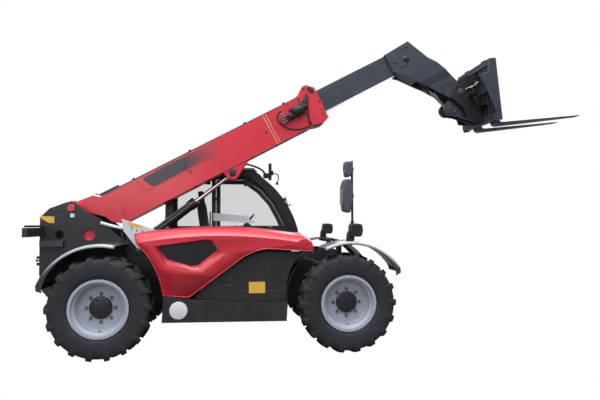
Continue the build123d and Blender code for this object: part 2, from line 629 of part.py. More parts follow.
glazed = [(690, 1500), (690, 2215), (1700, 2215), (1925, 2060), (2110, 1850), (2225, 1640),
          (2290, 1500)]
doorway = [(1240, 875), (1240, 2225), (1700, 2225), (1935, 2065), (2120, 1855), (2237, 1640),
           (2310, 1490), (2310, 1330), (2110, 1250), (2090, 875)]
with BuildPart() as cab:
    for y, wide, low in ((cab_left, cab_left - cab_foot, 0), (cab_foot, cab_foot - cab_right, cab_step)):
        with BuildSketch(side(y)) as shell:
            cab_outline()
            if low:
                with Locations((1500, low / 2)):
                    Rectangle(3000, low, mode=Mode.SUBTRACT)
        extrude(shell.sketch, amount=wide)
    for y, wide, low in ((cab_left - cab_wall, cab_left - cab_foot - 2 * cab_wall, 0),
                         (cab_foot + cab_wall, cab_foot - cab_right, cab_step + cab_wall)):
        with BuildSketch(side(y)) as room:
            cab_outline()
            offset(amount=-cab_wall, kind=Kind.INTERSECTION, mode=Mode.REPLACE)
            if low:
                with Locations((1500, low / 2)):
                    Rectangle(3000, low, mode=Mode.SUBTRACT)
        extrude(room.sketch, amount=wide, mode=Mode.SUBTRACT)
    plate(side(cab_right + cab_wall + 5), glazed, cab_wall + 10, mode=Mode.SUBTRACT)
    plate(side(cab_left + 5), doorway, cab_wall + 10, mode=Mode.SUBTRACT)
    plate(side(cab_left + 5), [(650, 1400), (650, 2215), (1180, 2215), (1180, 1400)], cab_wall + 10,
          mode=Mode.SUBTRACT)
    block((500, 680), (cab_right + 70, cab_left - 70), (1480, 2200), mode=Mode.SUBTRACT)
    block((1600, 2500), (cab_right + 60, cab_left - 60), (1470, 2230), mode=Mode.SUBTRACT)
    block((600, 1780), (cab_right + 60, cab_left - 60), (2220, 2300), mode=Mode.SUBTRACT)
    for z in door_hinges:
        block((door_x - 34, door_x + 12), (cab_left - 2, door_y + 14), (z - 14, z - 1))
        bar(level(z - 14), (door_x, door_y), hinge_pin, 60)
save(cab.part, "cab_frame")

with BuildPart() as roof:
    block((545, 1810), (cab_right - 10, cab_left + 10), (2275, 2335))
    chamfer(roof.faces().sort_by(Axis.Z)[-1].edges(), 25)
save(roof.part, "cab_roof")

with BuildPart() as panes:
    with BuildSketch(side(cab_right + 25)) as pane:
        with BuildLine():
            Polyline(*glazed, close=True)
        make_face()
        offset(amount=-run_gap, kind=Kind.INTERSECTION, mode=Mode.REPLACE)
    extrude(pane.sketch, amount=glass)
    gap = run_gap
    block((650 + gap, 1180 - gap), (cab_left - 25, cab_left - 25 + glass), (1400 + gap, 2215 - gap))
    block((580, 586), (cab_right + 70 + gap, cab_left - 70 - gap), (1480 + gap, 2200 - gap))
    with BuildSketch(side(cab_left - 60 - gap)) as pane:
        with BuildLine():
            screen(8)
            screen(8 + glass)
            Line((1782, 2275), (1776, 2275))
            Line((2417, 1440), (2411, 1440))
        make_face()
        with Locations((2100, 1850)):
            Rectangle(1200, 2 * (2230 - gap - 1850), mode=Mode.INTERSECT)
    extrude(pane.sketch, amount=cab_left - cab_right - 120 - 2 * gap)
save(panes.part, "cab_glass")

door_window = [(1300, 1380), (1300, 2165), (1685, 2165), (1885, 2025), (2065, 1825), (2175, 1620),
               (2240, 1480), (2240, 1380)]
with BuildPart() as door:
    with BuildSketch(side(cab_left)) as leaf:
        with BuildLine():
            Polyline(*doorway, close=True)
        make_face()
        offset(amount=-move_gap, kind=Kind.INTERSECTION, mode=Mode.REPLACE)
    extrude(leaf.sketch, amount=cab_wall - 5)
    plate(side(cab_left + 5), door_window, cab_wall + 10, mode=Mode.SUBTRACT)
    for z in door_hinges:
        with BuildSketch(Plane((rear_x, 0, z))) as ear:
            with Locations((door_x, door_y)):
                Circle(15)
            with Locations((door_x + 40, cab_left + 9)):
                Rectangle(80, 16)
            with Locations((door_x + 55, cab_left + 4)):
                Rectangle(50, 10)
            with Locations((door_x, door_y)):
                Circle(hinge_pin + run_gap, mode=Mode.SUBTRACT)
        extrude(ear.sketch, amount=40)
save(door.part, "cab_door")

with BuildPart() as door_pane:
    with BuildSketch(side(cab_left - 15)) as pane:
        with BuildLine():
            Polyline(*door_window, close=True)
        make_face()
        offset(amount=-run_gap, kind=Kind.INTERSECTION, mode=Mode.REPLACE)
    extrude(pane.sketch, amount=glass)
save(door_pane.part, "door_glass")

# ---- inside the cab ------------------------------------------------------------------------------
seat_y = (cab_foot + cab_left) / 2
with BuildPart() as seat:
    block((1120, 1400), (seat_y - 150, seat_y + 150), (floor_z + cab_wall, 1150))
    block((1060, 1520), (seat_y - 240, seat_y + 240), (1150, 1290))
    fillet(seat.edges().filter_by(Axis.Z).group_by(Axis.X)[-1], 60)
    plate(side(seat_y + 230), [(1060, 1270), (1180, 1270), (1090, 1850), (1000, 1850)], 460)
    plate(side(seat_y + 130), [(1000, 1840), (1075, 1840), (1050, 2020), (990, 2020)], 260)
save(seat.part, "seat")

with BuildPart() as controls:
    # dashboard against the front, column and steering wheel, side console
    plate(side(seat_y + 260), [(2090, floor_z + cab_wall), (2090, 1257), (2120, 1300), (2040, 1420),
                               (1930, 1400), (1960, floor_z + cab_wall)], 520)
    column = Plane(origin=(rear_x + 1960, seat_y, 1300), x_dir=(0, 1, 0), z_dir=(-0.75, 0, 0.66))
    bar(column, (0, 0), 38, 360)
    with BuildSketch(column.offset(345)):
        Circle(190)
        Circle(162, mode=Mode.SUBTRACT)
        Rectangle(350, 40)
        Circle(50)
    extrude(amount=24)
    block((1150, 1650), (cab_foot + cab_wall, cab_foot + cab_wall + 80), (floor_z + cab_wall, 1330))
    bar(level(1330), (1540, cab_foot + cab_wall + 40), 14, 130)
    with Locations((rear_x + 1540, cab_foot + cab_wall + 40, 1480)):
        Sphere(34)
save(controls.part, "cab_controls")

# ---- tank and step under the cab ------------------------------------------------------------------
with BuildPart() as tank:
    block((800, 2060), (rail_face + 60, cab_left - 30), (430, 780))
    fillet(tank.edges().filter_by(Axis.X), 40)
    block((1180, 1900), (cab_left - 180, cab_left), (560, 790), mode=Mode.SUBTRACT)
    block((1200, 1880), (cab_left - 190, cab_left - 40), (545, 560))
save(tank.part, "fuel_tank")

# ---- mudguards ---------------------------------------------------------------------------------
# name, centre (forward, up), start and sweep in degrees, inner edge
guards = [
    ("rear_mudguards", (0, axle_z), 76, 86, rail_face),
    ("front_mudguards", (guard_x, guard_z), 27, 90, 620),
]
for name, centre, start, sweep, inner_y in guards:
    with BuildPart() as guard:
        for hand in (1, -1):
            outer = hand * fender_outer
            band(side(max(outer, hand * inner_y)), centre, fender_radius, fender_sheet, start, sweep,
                 fender_outer - inner_y)
            band(side(max(outer, outer - hand * 10)), centre, fender_radius - 34, 38, start, sweep, 10)
    save(guard.part, name)

# ---- lamps, mirror, hitch ----------------------------------------------------------------------
guard_top = guard_z + fender_radius + fender_sheet
lamp_y = 940
with BuildPart() as head_lamps:
    for hand in (1, -1):
        with Locations((rear_x + 2961, hand * lamp_y, 1458)):
            Box(190, 130, 160)
        with Locations((rear_x + guard_x, hand * lamp_y, (guard_top + run_gap + 1400) / 2)):
            Box(50, 60, 1400 - guard_top - run_gap)
save(head_lamps.part, "head_lamps")

with BuildPart() as tail_lamps:
    for hand in (1, -1):
        with Locations((rear_x - 860, hand * 620, 1447)):
            Box(60, 560, 106)
save(tail_lamps.part, "tail_lamps")

with BuildPart() as mirror_post:
    bar(level(1538), (2921, -lamp_y), 14, 750)
    with Locations((rear_x + 2908, -lamp_y - 20, 2080)):
        Box(50, 180, 380)
save(mirror_post.part, "mirror")

with BuildPart() as hitch:
    block((-1010, -870), (-60, 60), (1010, 1130))
    block((-1015, -920), (-65, 65), (1045, 1095), mode=Mode.SUBTRACT)
    bar(level(1005), (-965, 0), 15, 140, mode=Mode.SUBTRACT)
save(hitch.part, "tow_hitch")

with BuildPart() as hose_block:
    plate(boom_side(-boom_half), [(3070, -235), (3260, -235), (3260, -110), (3070, -110)], 70)
save(hose_block.part, "boom_hose_block")

with BuildPart() as guard_box:
    plate(side(-rail_face), [(105, 1604), (590, 1438), (590, 1230), (300, 1230), (130, 1450)], 56)
save(guard_box.part, "side_cover")
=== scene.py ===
"""Looks of the telehandler: paint, rubber, glass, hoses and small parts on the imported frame."""
import json
from math import atan2, cos, hypot, pi, radians, sin, tau

import bmesh
import bpy
from mathutils import Matrix, Vector


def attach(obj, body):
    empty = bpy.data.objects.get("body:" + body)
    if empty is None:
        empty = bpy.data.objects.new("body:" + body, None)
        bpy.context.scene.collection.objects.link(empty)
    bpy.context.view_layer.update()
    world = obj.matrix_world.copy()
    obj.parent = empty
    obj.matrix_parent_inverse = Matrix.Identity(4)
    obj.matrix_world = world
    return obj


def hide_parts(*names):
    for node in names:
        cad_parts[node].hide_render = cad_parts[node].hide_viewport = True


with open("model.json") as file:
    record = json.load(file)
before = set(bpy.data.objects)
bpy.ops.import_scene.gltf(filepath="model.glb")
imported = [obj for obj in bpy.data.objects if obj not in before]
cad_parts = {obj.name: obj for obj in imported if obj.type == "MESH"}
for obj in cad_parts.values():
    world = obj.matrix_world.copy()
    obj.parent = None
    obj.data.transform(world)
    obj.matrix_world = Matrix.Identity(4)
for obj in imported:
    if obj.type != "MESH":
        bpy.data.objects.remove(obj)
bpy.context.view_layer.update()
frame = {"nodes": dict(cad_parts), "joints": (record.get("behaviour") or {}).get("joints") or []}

nodes = frame["nodes"]
joints = {joint["name"]: joint for joint in frame["joints"]}
rear_x, _, axle_z = joints["rear_left_spin"]["pos_m"]
wheelbase = joints["front_left_spin"]["pos_m"][0] - rear_x

# ---- camera, studio light and floor ------------------------------------------------------
# A standing viewer on the engine side, a little behind the middle, level with the hood, in a
# pale studio: one wide lamp overhead, one from behind the viewer and one from the far side.
viewer = bpy.data.cameras.new("viewer")
viewer.lens = 31.77
viewer.sensor_width = 36
viewer.clip_end = 100
camera = bpy.data.objects.new("viewer", viewer)
bpy.context.scene.collection.objects.link(camera)
turn, tip, roll = 0.1334, 0.0434, -0.0039
facing = (Matrix.Rotation(-turn, 4, "Z") @ Matrix.Rotation(pi / 2 + tip, 4, "X")
          @ Matrix.Rotation(roll, 4, "Z"))
camera.matrix_world = Matrix.Translation((-1.2781, -7.2897, 1.5448)) @ facing
bpy.context.scene.camera = camera
bpy.context.scene.view_settings.view_transform = "Standard"
for name, place, aim, size, power in (
        ("overhead_light", (-1.0, -3.5, 9.0), (0, 0, 1), 7.0, 620),
        ("side_light", (-5.0, -10.0, 5.0), (-0.5, 0, 1.2), 6.0, 230),
        ("far_light", (4.0, 8.0, 6.0), (0, 0, 1.2), 6.0, 300)):
    light = bpy.data.lights.new(name, "AREA")
    light.energy = power
    light.size = size
    lamp = bpy.data.objects.new(name, light)
    lamp.location = place
    lamp.rotation_euler = (Vector(aim) - Vector(place)).to_track_quat("-Z", "Y").to_euler()
    bpy.context.scene.collection.objects.link(lamp)


def node_in(tree, kind, values=None, **settings):
    """A new node with its settings made, and its inputs set to values or linked to sockets."""
    made = tree.nodes.new("ShaderNode" + kind)
    for setting, choice in settings.items():
        setattr(made, setting, choice)
    for socket, value in (values or {}).items():
        if isinstance(value, bpy.types.NodeSocket):
            tree.links.new(value, made.inputs[socket])
        else:
            made.inputs[socket].default_value = value
    return made


def white_for_viewer(tree, white_kind, lit, out):
    """Camera and transmitted rays see plain white, and the rest see what is lit."""
    rays = node_in(tree, "LightPath").outputs
    seen = node_in(tree, "Math", {0: rays["Is Camera Ray"], 1: rays["Is Transmission Ray"]},
                   operation="MAXIMUM")
    white = node_in(tree, white_kind, {"Color": (1, 1, 1, 1)})
    pick = node_in(tree, "MixShader", {"Fac": seen.outputs[0], 1: lit, 2: white.outputs[0]})
    tree.links.new(pick.outputs[0], out.inputs["Surface"])


world = bpy.data.worlds.new("studio")
bpy.context.scene.world = world
world.use_nodes = True
sky = world.node_tree
sky.nodes.clear()
way = node_in(sky, "SeparateXYZ", {0: node_in(sky, "TexCoord").outputs["Generated"]})
share_up = node_in(sky, "MapRange", {"Value": way.outputs["Z"], "From Min": -1.0, "From Max": 1.0})
glow = node_in(sky, "ValToRGB", {"Fac": share_up.outputs[0]})
below, above = glow.color_ramp.elements
below.position, below.color = 0.42, (0.10, 0.10, 0.11, 1)
above.position, above.color = 0.90, (1.25, 1.32, 1.42, 1)
glow.color_ramp.elements.new(0.60).color = (0.28, 0.30, 0.34, 1)
fill = node_in(sky, "Background", {"Color": glow.outputs["Color"], "Strength": 1.0})
white_for_viewer(sky, "Background", fill.outputs[0], node_in(sky, "OutputWorld"))

floor_mesh = bpy.data.meshes.new("floor")
reach = 60
floor_mesh.from_pydata([(-reach, -reach, 0), (reach, -reach, 0), (reach, reach, 0),
                        (-reach, reach, 0)], [], [(0, 1, 2, 3)])
floor = bpy.data.objects.new("floor", floor_mesh)
bpy.context.scene.collection.objects.link(floor)
floor_paint = bpy.data.materials.new("studio_floor")
floor_paint.use_nodes = True
cloth = floor_paint.node_tree
matt = cloth.nodes["Principled BSDF"]
for socket, value in (("Base Color", (0.16, 0.16, 0.16, 1)), ("Roughness", 0.9),
                      ("Specular IOR Level", 0.1)):
    matt.inputs[socket].default_value = value
white_for_viewer(cloth, "Emission", matt.outputs[0], cloth.nodes["Material Output"])
floor_mesh.materials.append(floor_paint)

# ---- axles and knuckles ------------------------------------------------------------------
# Cast steel, sprayed black and dusty: a centre bulge with its gears, tapered arms and yokes.
# The kingpins' caps and the gear case are bolted, and hoses feed the steering cylinders.


def finish(name, colour, rough=0.45, metal=0.0, coat=0.0, drift=0.1, grime=0.0, bare=None,
           grain=0.0, grain_size=400.0, rounding=0.0):
    """Paint or metal whose tone and gloss drift, with dust low down and rubbed edges."""
    made = bpy.data.materials.new(name)
    made.use_nodes = True
    tree = made.node_tree
    shader = tree.nodes["Principled BSDF"]
    for socket, number in (("Metallic", metal), ("Coat Weight", coat), ("Coat Roughness", 0.14)):
        shader.inputs[socket].default_value = number
    where = node_in(tree, "TexCoord").outputs["Object"]

    def noise(scale, detail):
        return node_in(tree, "TexNoise",
                       {"Vector": where, "Scale": scale, "Detail": detail}).outputs["Fac"]

    def span(value, low, high, start=0.0, end=1.0):
        return node_in(tree, "MapRange", {"Value": value, "From Min": low, "From Max": high,
                                          "To Min": start, "To Max": end}).outputs["Result"]

    def times(a, b):
        return node_in(tree, "Math", {0: a, 1: b}, operation="MULTIPLY").outputs[0]

    def mixed(share, first, second):
        first, second = ((*c, 1) if isinstance(c, tuple) else c for c in (first, second))
        return node_in(tree, "Mix", {"Factor": share, 6: first, 7: second},
                       data_type="RGBA").outputs[2]

    darker = tuple(c * (1 - drift) for c in colour)
    lighter = tuple(min(1.0, c * (1 + drift)) for c in colour)
    tone = mixed(span(noise(1.7, 6.0), 0.35, 0.65), darker, lighter)
    gloss = span(noise(11.0, 5.0), 0.3, 0.7, max(0.02, rough - 0.07), rough + 0.07)
    normal = None
    if rounding:
        normal = node_in(tree, "Bevel", {"Radius": rounding}, samples=4).outputs["Normal"]
    if bare and rounding:
        true_normal = node_in(tree, "NewGeometry").outputs["Normal"]
        same = node_in(tree, "VectorMath", {0: normal, 1: true_normal}, operation="DOT_PRODUCT")
        edge = span(same.outputs["Value"], 0.985, 0.90)
        rubbed = times(edge, span(noise(23.0, 6.0), 0.48, 0.62))
        tone = mixed(rubbed, tone, bare)
    if grime:
        height = node_in(tree, "SeparateXYZ", {0: where}).outputs["Z"]
        low_down = span(height, 0.25, 1.5, grime, grime * 0.12)
        dusty = times(low_down, span(noise(5.0, 8.0), 0.32, 0.72))
        tone = mixed(dusty, tone, (0.20, 0.175, 0.15))
    if grain:
        bump = node_in(tree, "Bump", {"Strength": grain, "Distance": 0.002,
                                      "Height": noise(grain_size, 3.0)})
        if normal:
            tree.links.new(normal, bump.inputs["Normal"])
        normal = bump.outputs["Normal"]
    for socket, source in (("Base Color", tone), ("Roughness", gloss), ("Normal", normal)):
        if source:
            tree.links.new(source, shader.inputs[socket])
    return made


def fade(material, direction, start, end, colour, easing="LINEAR"):
    """Fades a finish to a colour from start to end along a direction in the machine."""
    tree = material.node_tree
    base = tree.nodes["Principled BSDF"].inputs["Base Color"]
    where = node_in(tree, "TexCoord").outputs["Object"]
    along = node_in(tree, "VectorMath", {0: where, 1: direction}, operation="DOT_PRODUCT")
    share = node_in(tree, "MapRange", {"Value": along.outputs["Value"], "From Min": start,
                                       "From Max": end}, interpolation_type=easing)
    blend = node_in(tree, "Mix", {"Factor": share.outputs[0], 6: base.links[0].from_socket,
                                  7: (*colour, 1)}, data_type="RGBA")
    tree.links.new(blend.outputs[2], base)


def dress(material, *names):
    """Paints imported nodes."""
    for name in names:
        nodes[name].data.materials.clear()
        nodes[name].data.materials.append(material)


def add(name, form, material, body="machine", crease=35):
    """A new piece from a bmesh or a curve, with its edges sharp past the crease angle."""
    if isinstance(form, bmesh.types.BMesh):
        bmesh.ops.recalc_face_normals(form, faces=form.faces)
        data = bpy.data.meshes.new(name)
        form.to_mesh(data)
        form.free()
        data.shade_smooth()
        data.set_sharp_from_angle(angle=radians(crease))
    else:
        data = form
    data.materials.append(material)
    piece = bpy.data.objects.new(name, data)
    bpy.context.scene.collection.objects.link(piece)
    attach(piece, body)
    return piece


def stood(place, normal):
    """A turned part stands at place, its axis along normal."""
    return Matrix.Translation(place) @ Vector(normal).to_track_quat("Z", "Y").to_matrix().to_4x4()


def turned(form, outline, stand, steps=32):
    """Adds a turned shape, its outline given as (radius, height) places."""
    rings = []
    for radius, height in outline:
        count = steps if radius > 1e-6 else 1
        rings.append([form.verts.new(stand @ Vector((radius * cos(tau * k / count),
                                                     radius * sin(tau * k / count), height)))
                      for k in range(count)])
    for low, high in zip(rings, rings[1:]):
        for k in range(steps):
            corners = [low[k % len(low)], low[(k + 1) % len(low)], high[(k + 1) % len(high)],
                       high[k % len(high)]]
            corners = list(dict.fromkeys(corners))
            if len(corners) > 2:
                form.faces.new(corners)


def bolt(form, place, normal, across=0.012, high=0.009):
    """A washer and a six-sided head."""
    stand = stood(place, normal)
    turned(form, [(0, 0), (across * 1.45, 0), (across * 1.45, 0.002), (0, 0.002)], stand, 20)
    turned(form, [(across, 0.002), (across, high), (across * 0.8, high + 0.0015),
                  (0, high + 0.0015)], stand, 6)


def tubes(name, runs, radius, material, body="machine", smooth=True):
    """Hoses or pipes fixed at both ends, each run a list of places."""
    curve = bpy.data.curves.new(name, "CURVE")
    curve.dimensions = "3D"
    curve.bevel_depth = radius
    curve.bevel_resolution = 4
    curve.use_fill_caps = True
    for run in runs:
        line = curve.splines.new("NURBS" if smooth else "POLY")
        line.points.add(len(run) - 1)
        for point, at in zip(line.points, run):
            point.co = (*at, 1)
        if smooth:
            line.order_u = min(4, len(run))
            line.use_endpoint_u = True
            line.resolution_u = 8
    return add(name, curve, material, body)


def spot(x, y, z):
    """A place measured forward from the rear axle, to the left and up from the ground."""
    return Vector((rear_x + x, y, z))


black_paint = finish("black_paint", (0.011, 0.011, 0.014), 0.42, coat=0.25, drift=0.15, grime=0.12,
                     bare=(0.12, 0.115, 0.11), grain=0.06, rounding=0.004)
cast_black = finish("cast_black", (0.015, 0.015, 0.017), 0.62, drift=0.2, grime=0.35,
                    bare=(0.14, 0.12, 0.10), grain=0.25, grain_size=160, rounding=0.006)
bolt_steel = finish("bolt_steel", (0.10, 0.10, 0.105), 0.42, metal=0.8, drift=0.2)
hose_rubber = finish("hose_rubber", (0.014, 0.014, 0.015), 0.55, drift=0.15, grain=0.1,
                     grain_size=900)
corners = {c: Vector(joints[c + "_spin"]["pos_m"]) for c in (
    "front_left", "front_right", "rear_left", "rear_right")}
dress(cast_black, "front_axle", "rear_axle", *("knuckle_" + corner for corner in corners))
kingpin_y, cap_circle, case_circle = 0.825, 0.044, 0.137
heads = bmesh.new()
for wheel_x in (0.0, wheelbase):
    for hand in (1, -1):
        for end in (1, -1):
            for k in range(6):
                turn = tau * k / 6
                at = spot(wheel_x + cap_circle * cos(turn), hand * kingpin_y + cap_circle * sin(turn),
                          axle_z + end * 0.1352)
                bolt(heads, at, (0, 0, end), 0.008, 0.008)
        for k in range(12):
            turn = tau * k / 12
            bolt(heads, spot(wheel_x + case_circle * cos(turn), hand * 0.1115,
                             axle_z + case_circle * sin(turn)), (0, hand, 0.25), 0.008, 0.008)
add("axle_bolts", heads, bolt_steel)
steer_runs = []
for wheel_x, back in ((0.0, 1), (wheelbase, -1)):
    end = wheel_x + back * 0.15
    steer_runs += [[spot(end + back * x, hand * y, axle_z + z) for x, y, z in (
        (0, 0.22, 0), (0, 0.24, 0.08), (0.06, 0.27, 0.16), (0.10, 0.305, 0.25),
        (0.14, 0.312, 0.36))] for hand in (1, -1)]
tubes("steering_hoses", steer_runs, 0.009, hose_rubber)

# ---- wheels --------------------------------------------------------------------------------
# Wide industrial tyres, chunky slanted lugs round the shoulders, on pale pressed rims with a
# dished disc. A black planetary hub with its ring of nuts fills the middle of each.
half_carcass = [(0.1605, 0.309), (0.168, 0.337), (0.180, 0.347), (0.186, 0.362), (0.1885, 0.374),
                (0.1915, 0.377), (0.1955, 0.405), (0.1985, 0.43), (0.1995, 0.46), (0.198, 0.49),
                (0.194, 0.515), (0.187, 0.537), (0.172, 0.551), (0.12, 0.557), (0.05, 0.559)]
# across and out at the root, across and out at the crest, place round, half widths
lug_stations = [(-0.012, 0.552, -0.007, 0.5885, 0.060, 0.034, 0.024),
                (0.045, 0.553, 0.045, 0.5905, 0.038, 0.034, 0.026),
                (0.105, 0.552, 0.105, 0.5895, 0.018, 0.036, 0.028),
                (0.150, 0.549, 0.154, 0.5855, 0.003, 0.038, 0.030),
                (0.172, 0.540, 0.181, 0.5740, -0.005, 0.040, 0.032),
                (0.182, 0.522, 0.195, 0.5480, -0.010, 0.040, 0.031),
                (0.190, 0.498, 0.2010, 0.5160, -0.013, 0.038, 0.027),
                (0.192, 0.472, 0.1990, 0.4800, -0.013, 0.033, 0.021)]
lugs_a_side = 18
lug_radius = 0.575


def join_rows(form, rows, closed=False):
    """Joins rows of corners by faces, and the two ends of each row if they are closed."""
    for row, following in zip(rows, rows[1:]):
        for k in range(0 if closed else 1, len(row)):
            form.faces.new((row[k - 1], row[k], following[k], following[k - 1]))


def tyre_form(side_hand):
    """A wheel's carcass about the origin, with its slanted lugs in two rows."""
    form = bmesh.new()
    outline = [(out, across) for across, out in half_carcass] + [
        (out, -across) for across, out in half_carcass[::-1]]
    inside = [(0.33, -0.150), (0.50, -0.165), (0.515, 0.0), (0.50, 0.165), (0.33, 0.150)]
    lay = Matrix.Rotation(-pi / 2, 4, "X")
    turned(form, outline + inside + outline[:1], lay, 108)
    bmesh.ops.remove_doubles(form, verts=form.verts, dist=1e-5)
    for hand in (1, -1):
        for step in range(lugs_a_side):
            start = tau / lugs_a_side * (step + (hand > 0) / 2)
            rows = []
            for across_in, out_in, across_up, out_up, round_by, wide_in, wide_up in lug_stations:
                row = []
                for across, out, wide in ((across_in, out_in, -wide_in), (across_up, out_up, -wide_up),
                                          (across_up, out_up, wide_up), (across_in, out_in, wide_in)):
                    turn = start + (round_by + wide) / lug_radius
                    row.append(form.verts.new((out * sin(turn), side_hand * hand * across,
                                               out * cos(turn))))
                rows.append(row)
            join_rows(form, rows)
            form.faces.new(rows[0])
            form.faces.new(rows[-1])
    return form


rubber = finish("tyre_rubber", (0.018, 0.0175, 0.021), 0.72, drift=0.22, bare=(0.075, 0.07, 0.062),
                grain=0.22, grain_size=220, rounding=0.006)
rim_silver = finish("rim_silver", (0.38, 0.40, 0.46), 0.40, coat=0.15, drift=0.06,
                    bare=(0.30, 0.29, 0.28), grain=0.03, rounding=0.004)
hub_black = finish("hub_black", (0.014, 0.014, 0.017), 0.45, coat=0.1, drift=0.15,
                   bare=(0.10, 0.09, 0.08), rounding=0.003)
nut_circle, hub_bolt_circle, disc_face = 0.160, 0.101, 0.031
for corner, middle in corners.items():
    hand = 1 if corner.endswith("left") else -1
    tyre = add("tread_" + corner, tyre_form(hand), rubber, corner + "_wheel", 30)
    tyre.data.transform(Matrix.Translation(middle))
    soften = tyre.modifiers.new("rounded lugs", "BEVEL")
    soften.width = 0.004
    soften.segments = 2
    soften.angle_limit = radians(40)
    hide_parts("tyre_" + corner)
    dress(rim_silver, "rim_" + corner)
    hub, nuts = bmesh.new(), bmesh.new()
    turned(hub, [(0.128, 0), (0.128, 0.012), (0.1225, 0.016), (0.1225, 0.030), (0.112, 0.036),
                 (0.085, 0.0385), (0.082, 0.046), (0.060, 0.050), (0.034, 0.0505), (0.030, 0.060),
                 (0, 0.061)], stood(middle + Vector((0, hand * disc_face, 0)), (0, hand, 0)), 56)
    for k in range(8):
        turn = tau * (k + 0.5) / 8
        bolt(hub, middle + Vector((hub_bolt_circle * cos(turn), hand * 0.067,
                                   hub_bolt_circle * sin(turn))), (0, hand, 0), 0.008, 0.008)
        turn = tau * k / 8
        nut = middle + Vector((nut_circle * cos(turn), hand * 0.0302, nut_circle * sin(turn)))
        turned(nuts, [(0.021, 0), (0.021, 0.003), (0.0145, 0.004), (0.0145, 0.022), (0.011, 0.025),
                      (0.0075, 0.025), (0.0075, 0.036), (0, 0.037)], stood(nut, (0, hand, 0)), 12)
    add("hub_" + corner, hub, hub_black, corner + "_wheel")
    add("wheel_nuts_" + corner, nuts, bolt_steel, corner + "_wheel")
    stem = [middle + Vector((0.0, hand * y, -r))
            for y, r in ((0.072, 0.262), (0.090, 0.250), (0.112, 0.247))]
    tubes("valve_" + corner, [stem], 0.006, hose_rubber, corner + "_wheel")

# ---- chassis ---------------------------------------------------------------------------------
# Two tall plates with the ballast, belly and cross plates between, painted black. The boom's
# pivot pin ends show red; a lifting hole, bolts and a blank yellow plate are on each side.


def slab(form, outline, near, far, place):
    """Adds a flat plate: its outline's two numbers and its depth go through place()."""
    front = [form.verts.new(place(a, b, near)) for a, b in outline]
    back = [form.verts.new(place(a, b, far)) for a, b in outline]
    form.faces.new(front)
    form.faces.new(back[::-1])
    for k in range(len(front)):
        form.faces.new((front[k], back[k], back[k - 1], front[k - 1]))


def upright(x, z, y):
    """Turns a side view's two numbers and a depth into a place."""
    return spot(x, y, z)


def oblong(left, low, right, high):
    """The four corners of a plain rectangle."""
    return [(left, low), (right, low), (right, high), (left, high)]


def brick(form, low, high):
    """Adds a box between two corners measured from the rear axle."""
    slab(form, oblong(low[0], low[2], high[0], high[2]), low[1], high[1], upright)


def brick_pair(form, low, high):
    """Adds a box on the left and the same one on the right."""
    brick(form, low, high)
    brick(form, (low[0], -high[1], low[2]), (high[0], -low[1], high[2]))


def round_edges(piece, width, segments=2):
    """Rounds a piece's sharp edges."""
    edge = piece.modifiers.new("edges", "BEVEL")
    edge.width = width
    edge.segments = segments
    edge.angle_limit = radians(30)


def arc_through(first, middle, last, count):
    """Places on the circle's arc from first through middle to last."""
    (ax, ay), (bx, by), (cx, cy) = first, middle, last
    d = 2 * (ax * (by - cy) + bx * (cy - ay) + cx * (ay - by))
    ox = ((ax * ax + ay * ay) * (by - cy) + (bx * bx + by * by) * (cy - ay)
          + (cx * cx + cy * cy) * (ay - by)) / d
    oy = ((ax * ax + ay * ay) * (cx - bx) + (bx * bx + by * by) * (ax - cx)
          + (cx * cx + cy * cy) * (bx - ax)) / d
    start, via, end = (atan2(y - oy, x - ox) for x, y in (first, middle, last))
    forward = (via - start) % tau < (end - start) % tau
    sweep = (end - start) % tau if forward else -((start - end) % tau)
    size = hypot(ax - ox, ay - oy)
    return [(ox + size * cos(start + sweep * k / count), oy + size * sin(start + sweep * k / count))
            for k in range(count + 1)]


def ring(x, z, radius):
    """Forty places on a circle about a middle."""
    return [(x + radius * cos(tau * k / 40), z + radius * sin(tau * k / 40)) for k in range(40)]


def sheet(form, outlines, thick, face_y):
    """Adds an upright flat sheet from an outline and its holes, thick to the right of face_y."""
    flat = bpy.data.curves.new("flat", "CURVE")
    flat.dimensions = "2D"
    flat.fill_mode = "BOTH"
    flat.extrude = thick / 2
    for outline in outlines:
        line = flat.splines.new("POLY")
        line.points.add(len(outline) - 1)
        line.use_cyclic_u = True
        for point, (x, y) in zip(line.points, outline):
            point.co = (x, y, 0, 1)
    holder = bpy.data.objects.new("flat", flat)
    bpy.context.scene.collection.objects.link(holder)
    filled = bpy.data.meshes.new_from_object(
        holder.evaluated_get(bpy.context.evaluated_depsgraph_get()))
    stand = Matrix.Translation(spot(0, face_y - thick / 2, 0)) @ Matrix.Rotation(pi / 2, 4, "X")
    filled.transform(stand)
    form.from_mesh(filled)
    bpy.data.objects.remove(holder)
    bpy.data.curves.remove(flat)
    bpy.data.meshes.remove(filled)
    bmesh.ops.remove_doubles(form, verts=form.verts, dist=1e-6)


frame_face = 0.3435
dress(black_paint, "chassis", "engine_cradle", "tow_hitch")
frame_skins = bmesh.new()
plate_line = ([(-0.8835, 0.930), (-0.8835, 1.628), (-0.768, 1.740), (-0.600, 1.806)]
              + arc_through((-0.560, 1.818), (-0.480, 1.812), (-0.430, 1.780), 8)
              + [(-0.360, 1.722), (-0.272, 1.668), (-0.148, 1.596), (-0.054, 1.505), (0.020, 1.420),
                 (0.100, 1.360), (0.100, 1.000)])
for hand in (1, -1):
    sheet(frame_skins, [plate_line, ring(-0.300, 1.407, 0.075), ring(-0.652, 1.408, 0.055)], 0.003,
          -0.3405 if hand < 0 else frame_face)
add("frame_side_skins", frame_skins, black_paint)
red_gloss = finish("red_gloss", (0.60, 0.022, 0.040), 0.34, coat=0.45, drift=0.05,
                   bare=(0.75, 0.16, 0.17), grain=0.02, rounding=0.005)
pin_ends, frame_bolts, lift_plates = bmesh.new(), bmesh.new(), bmesh.new()
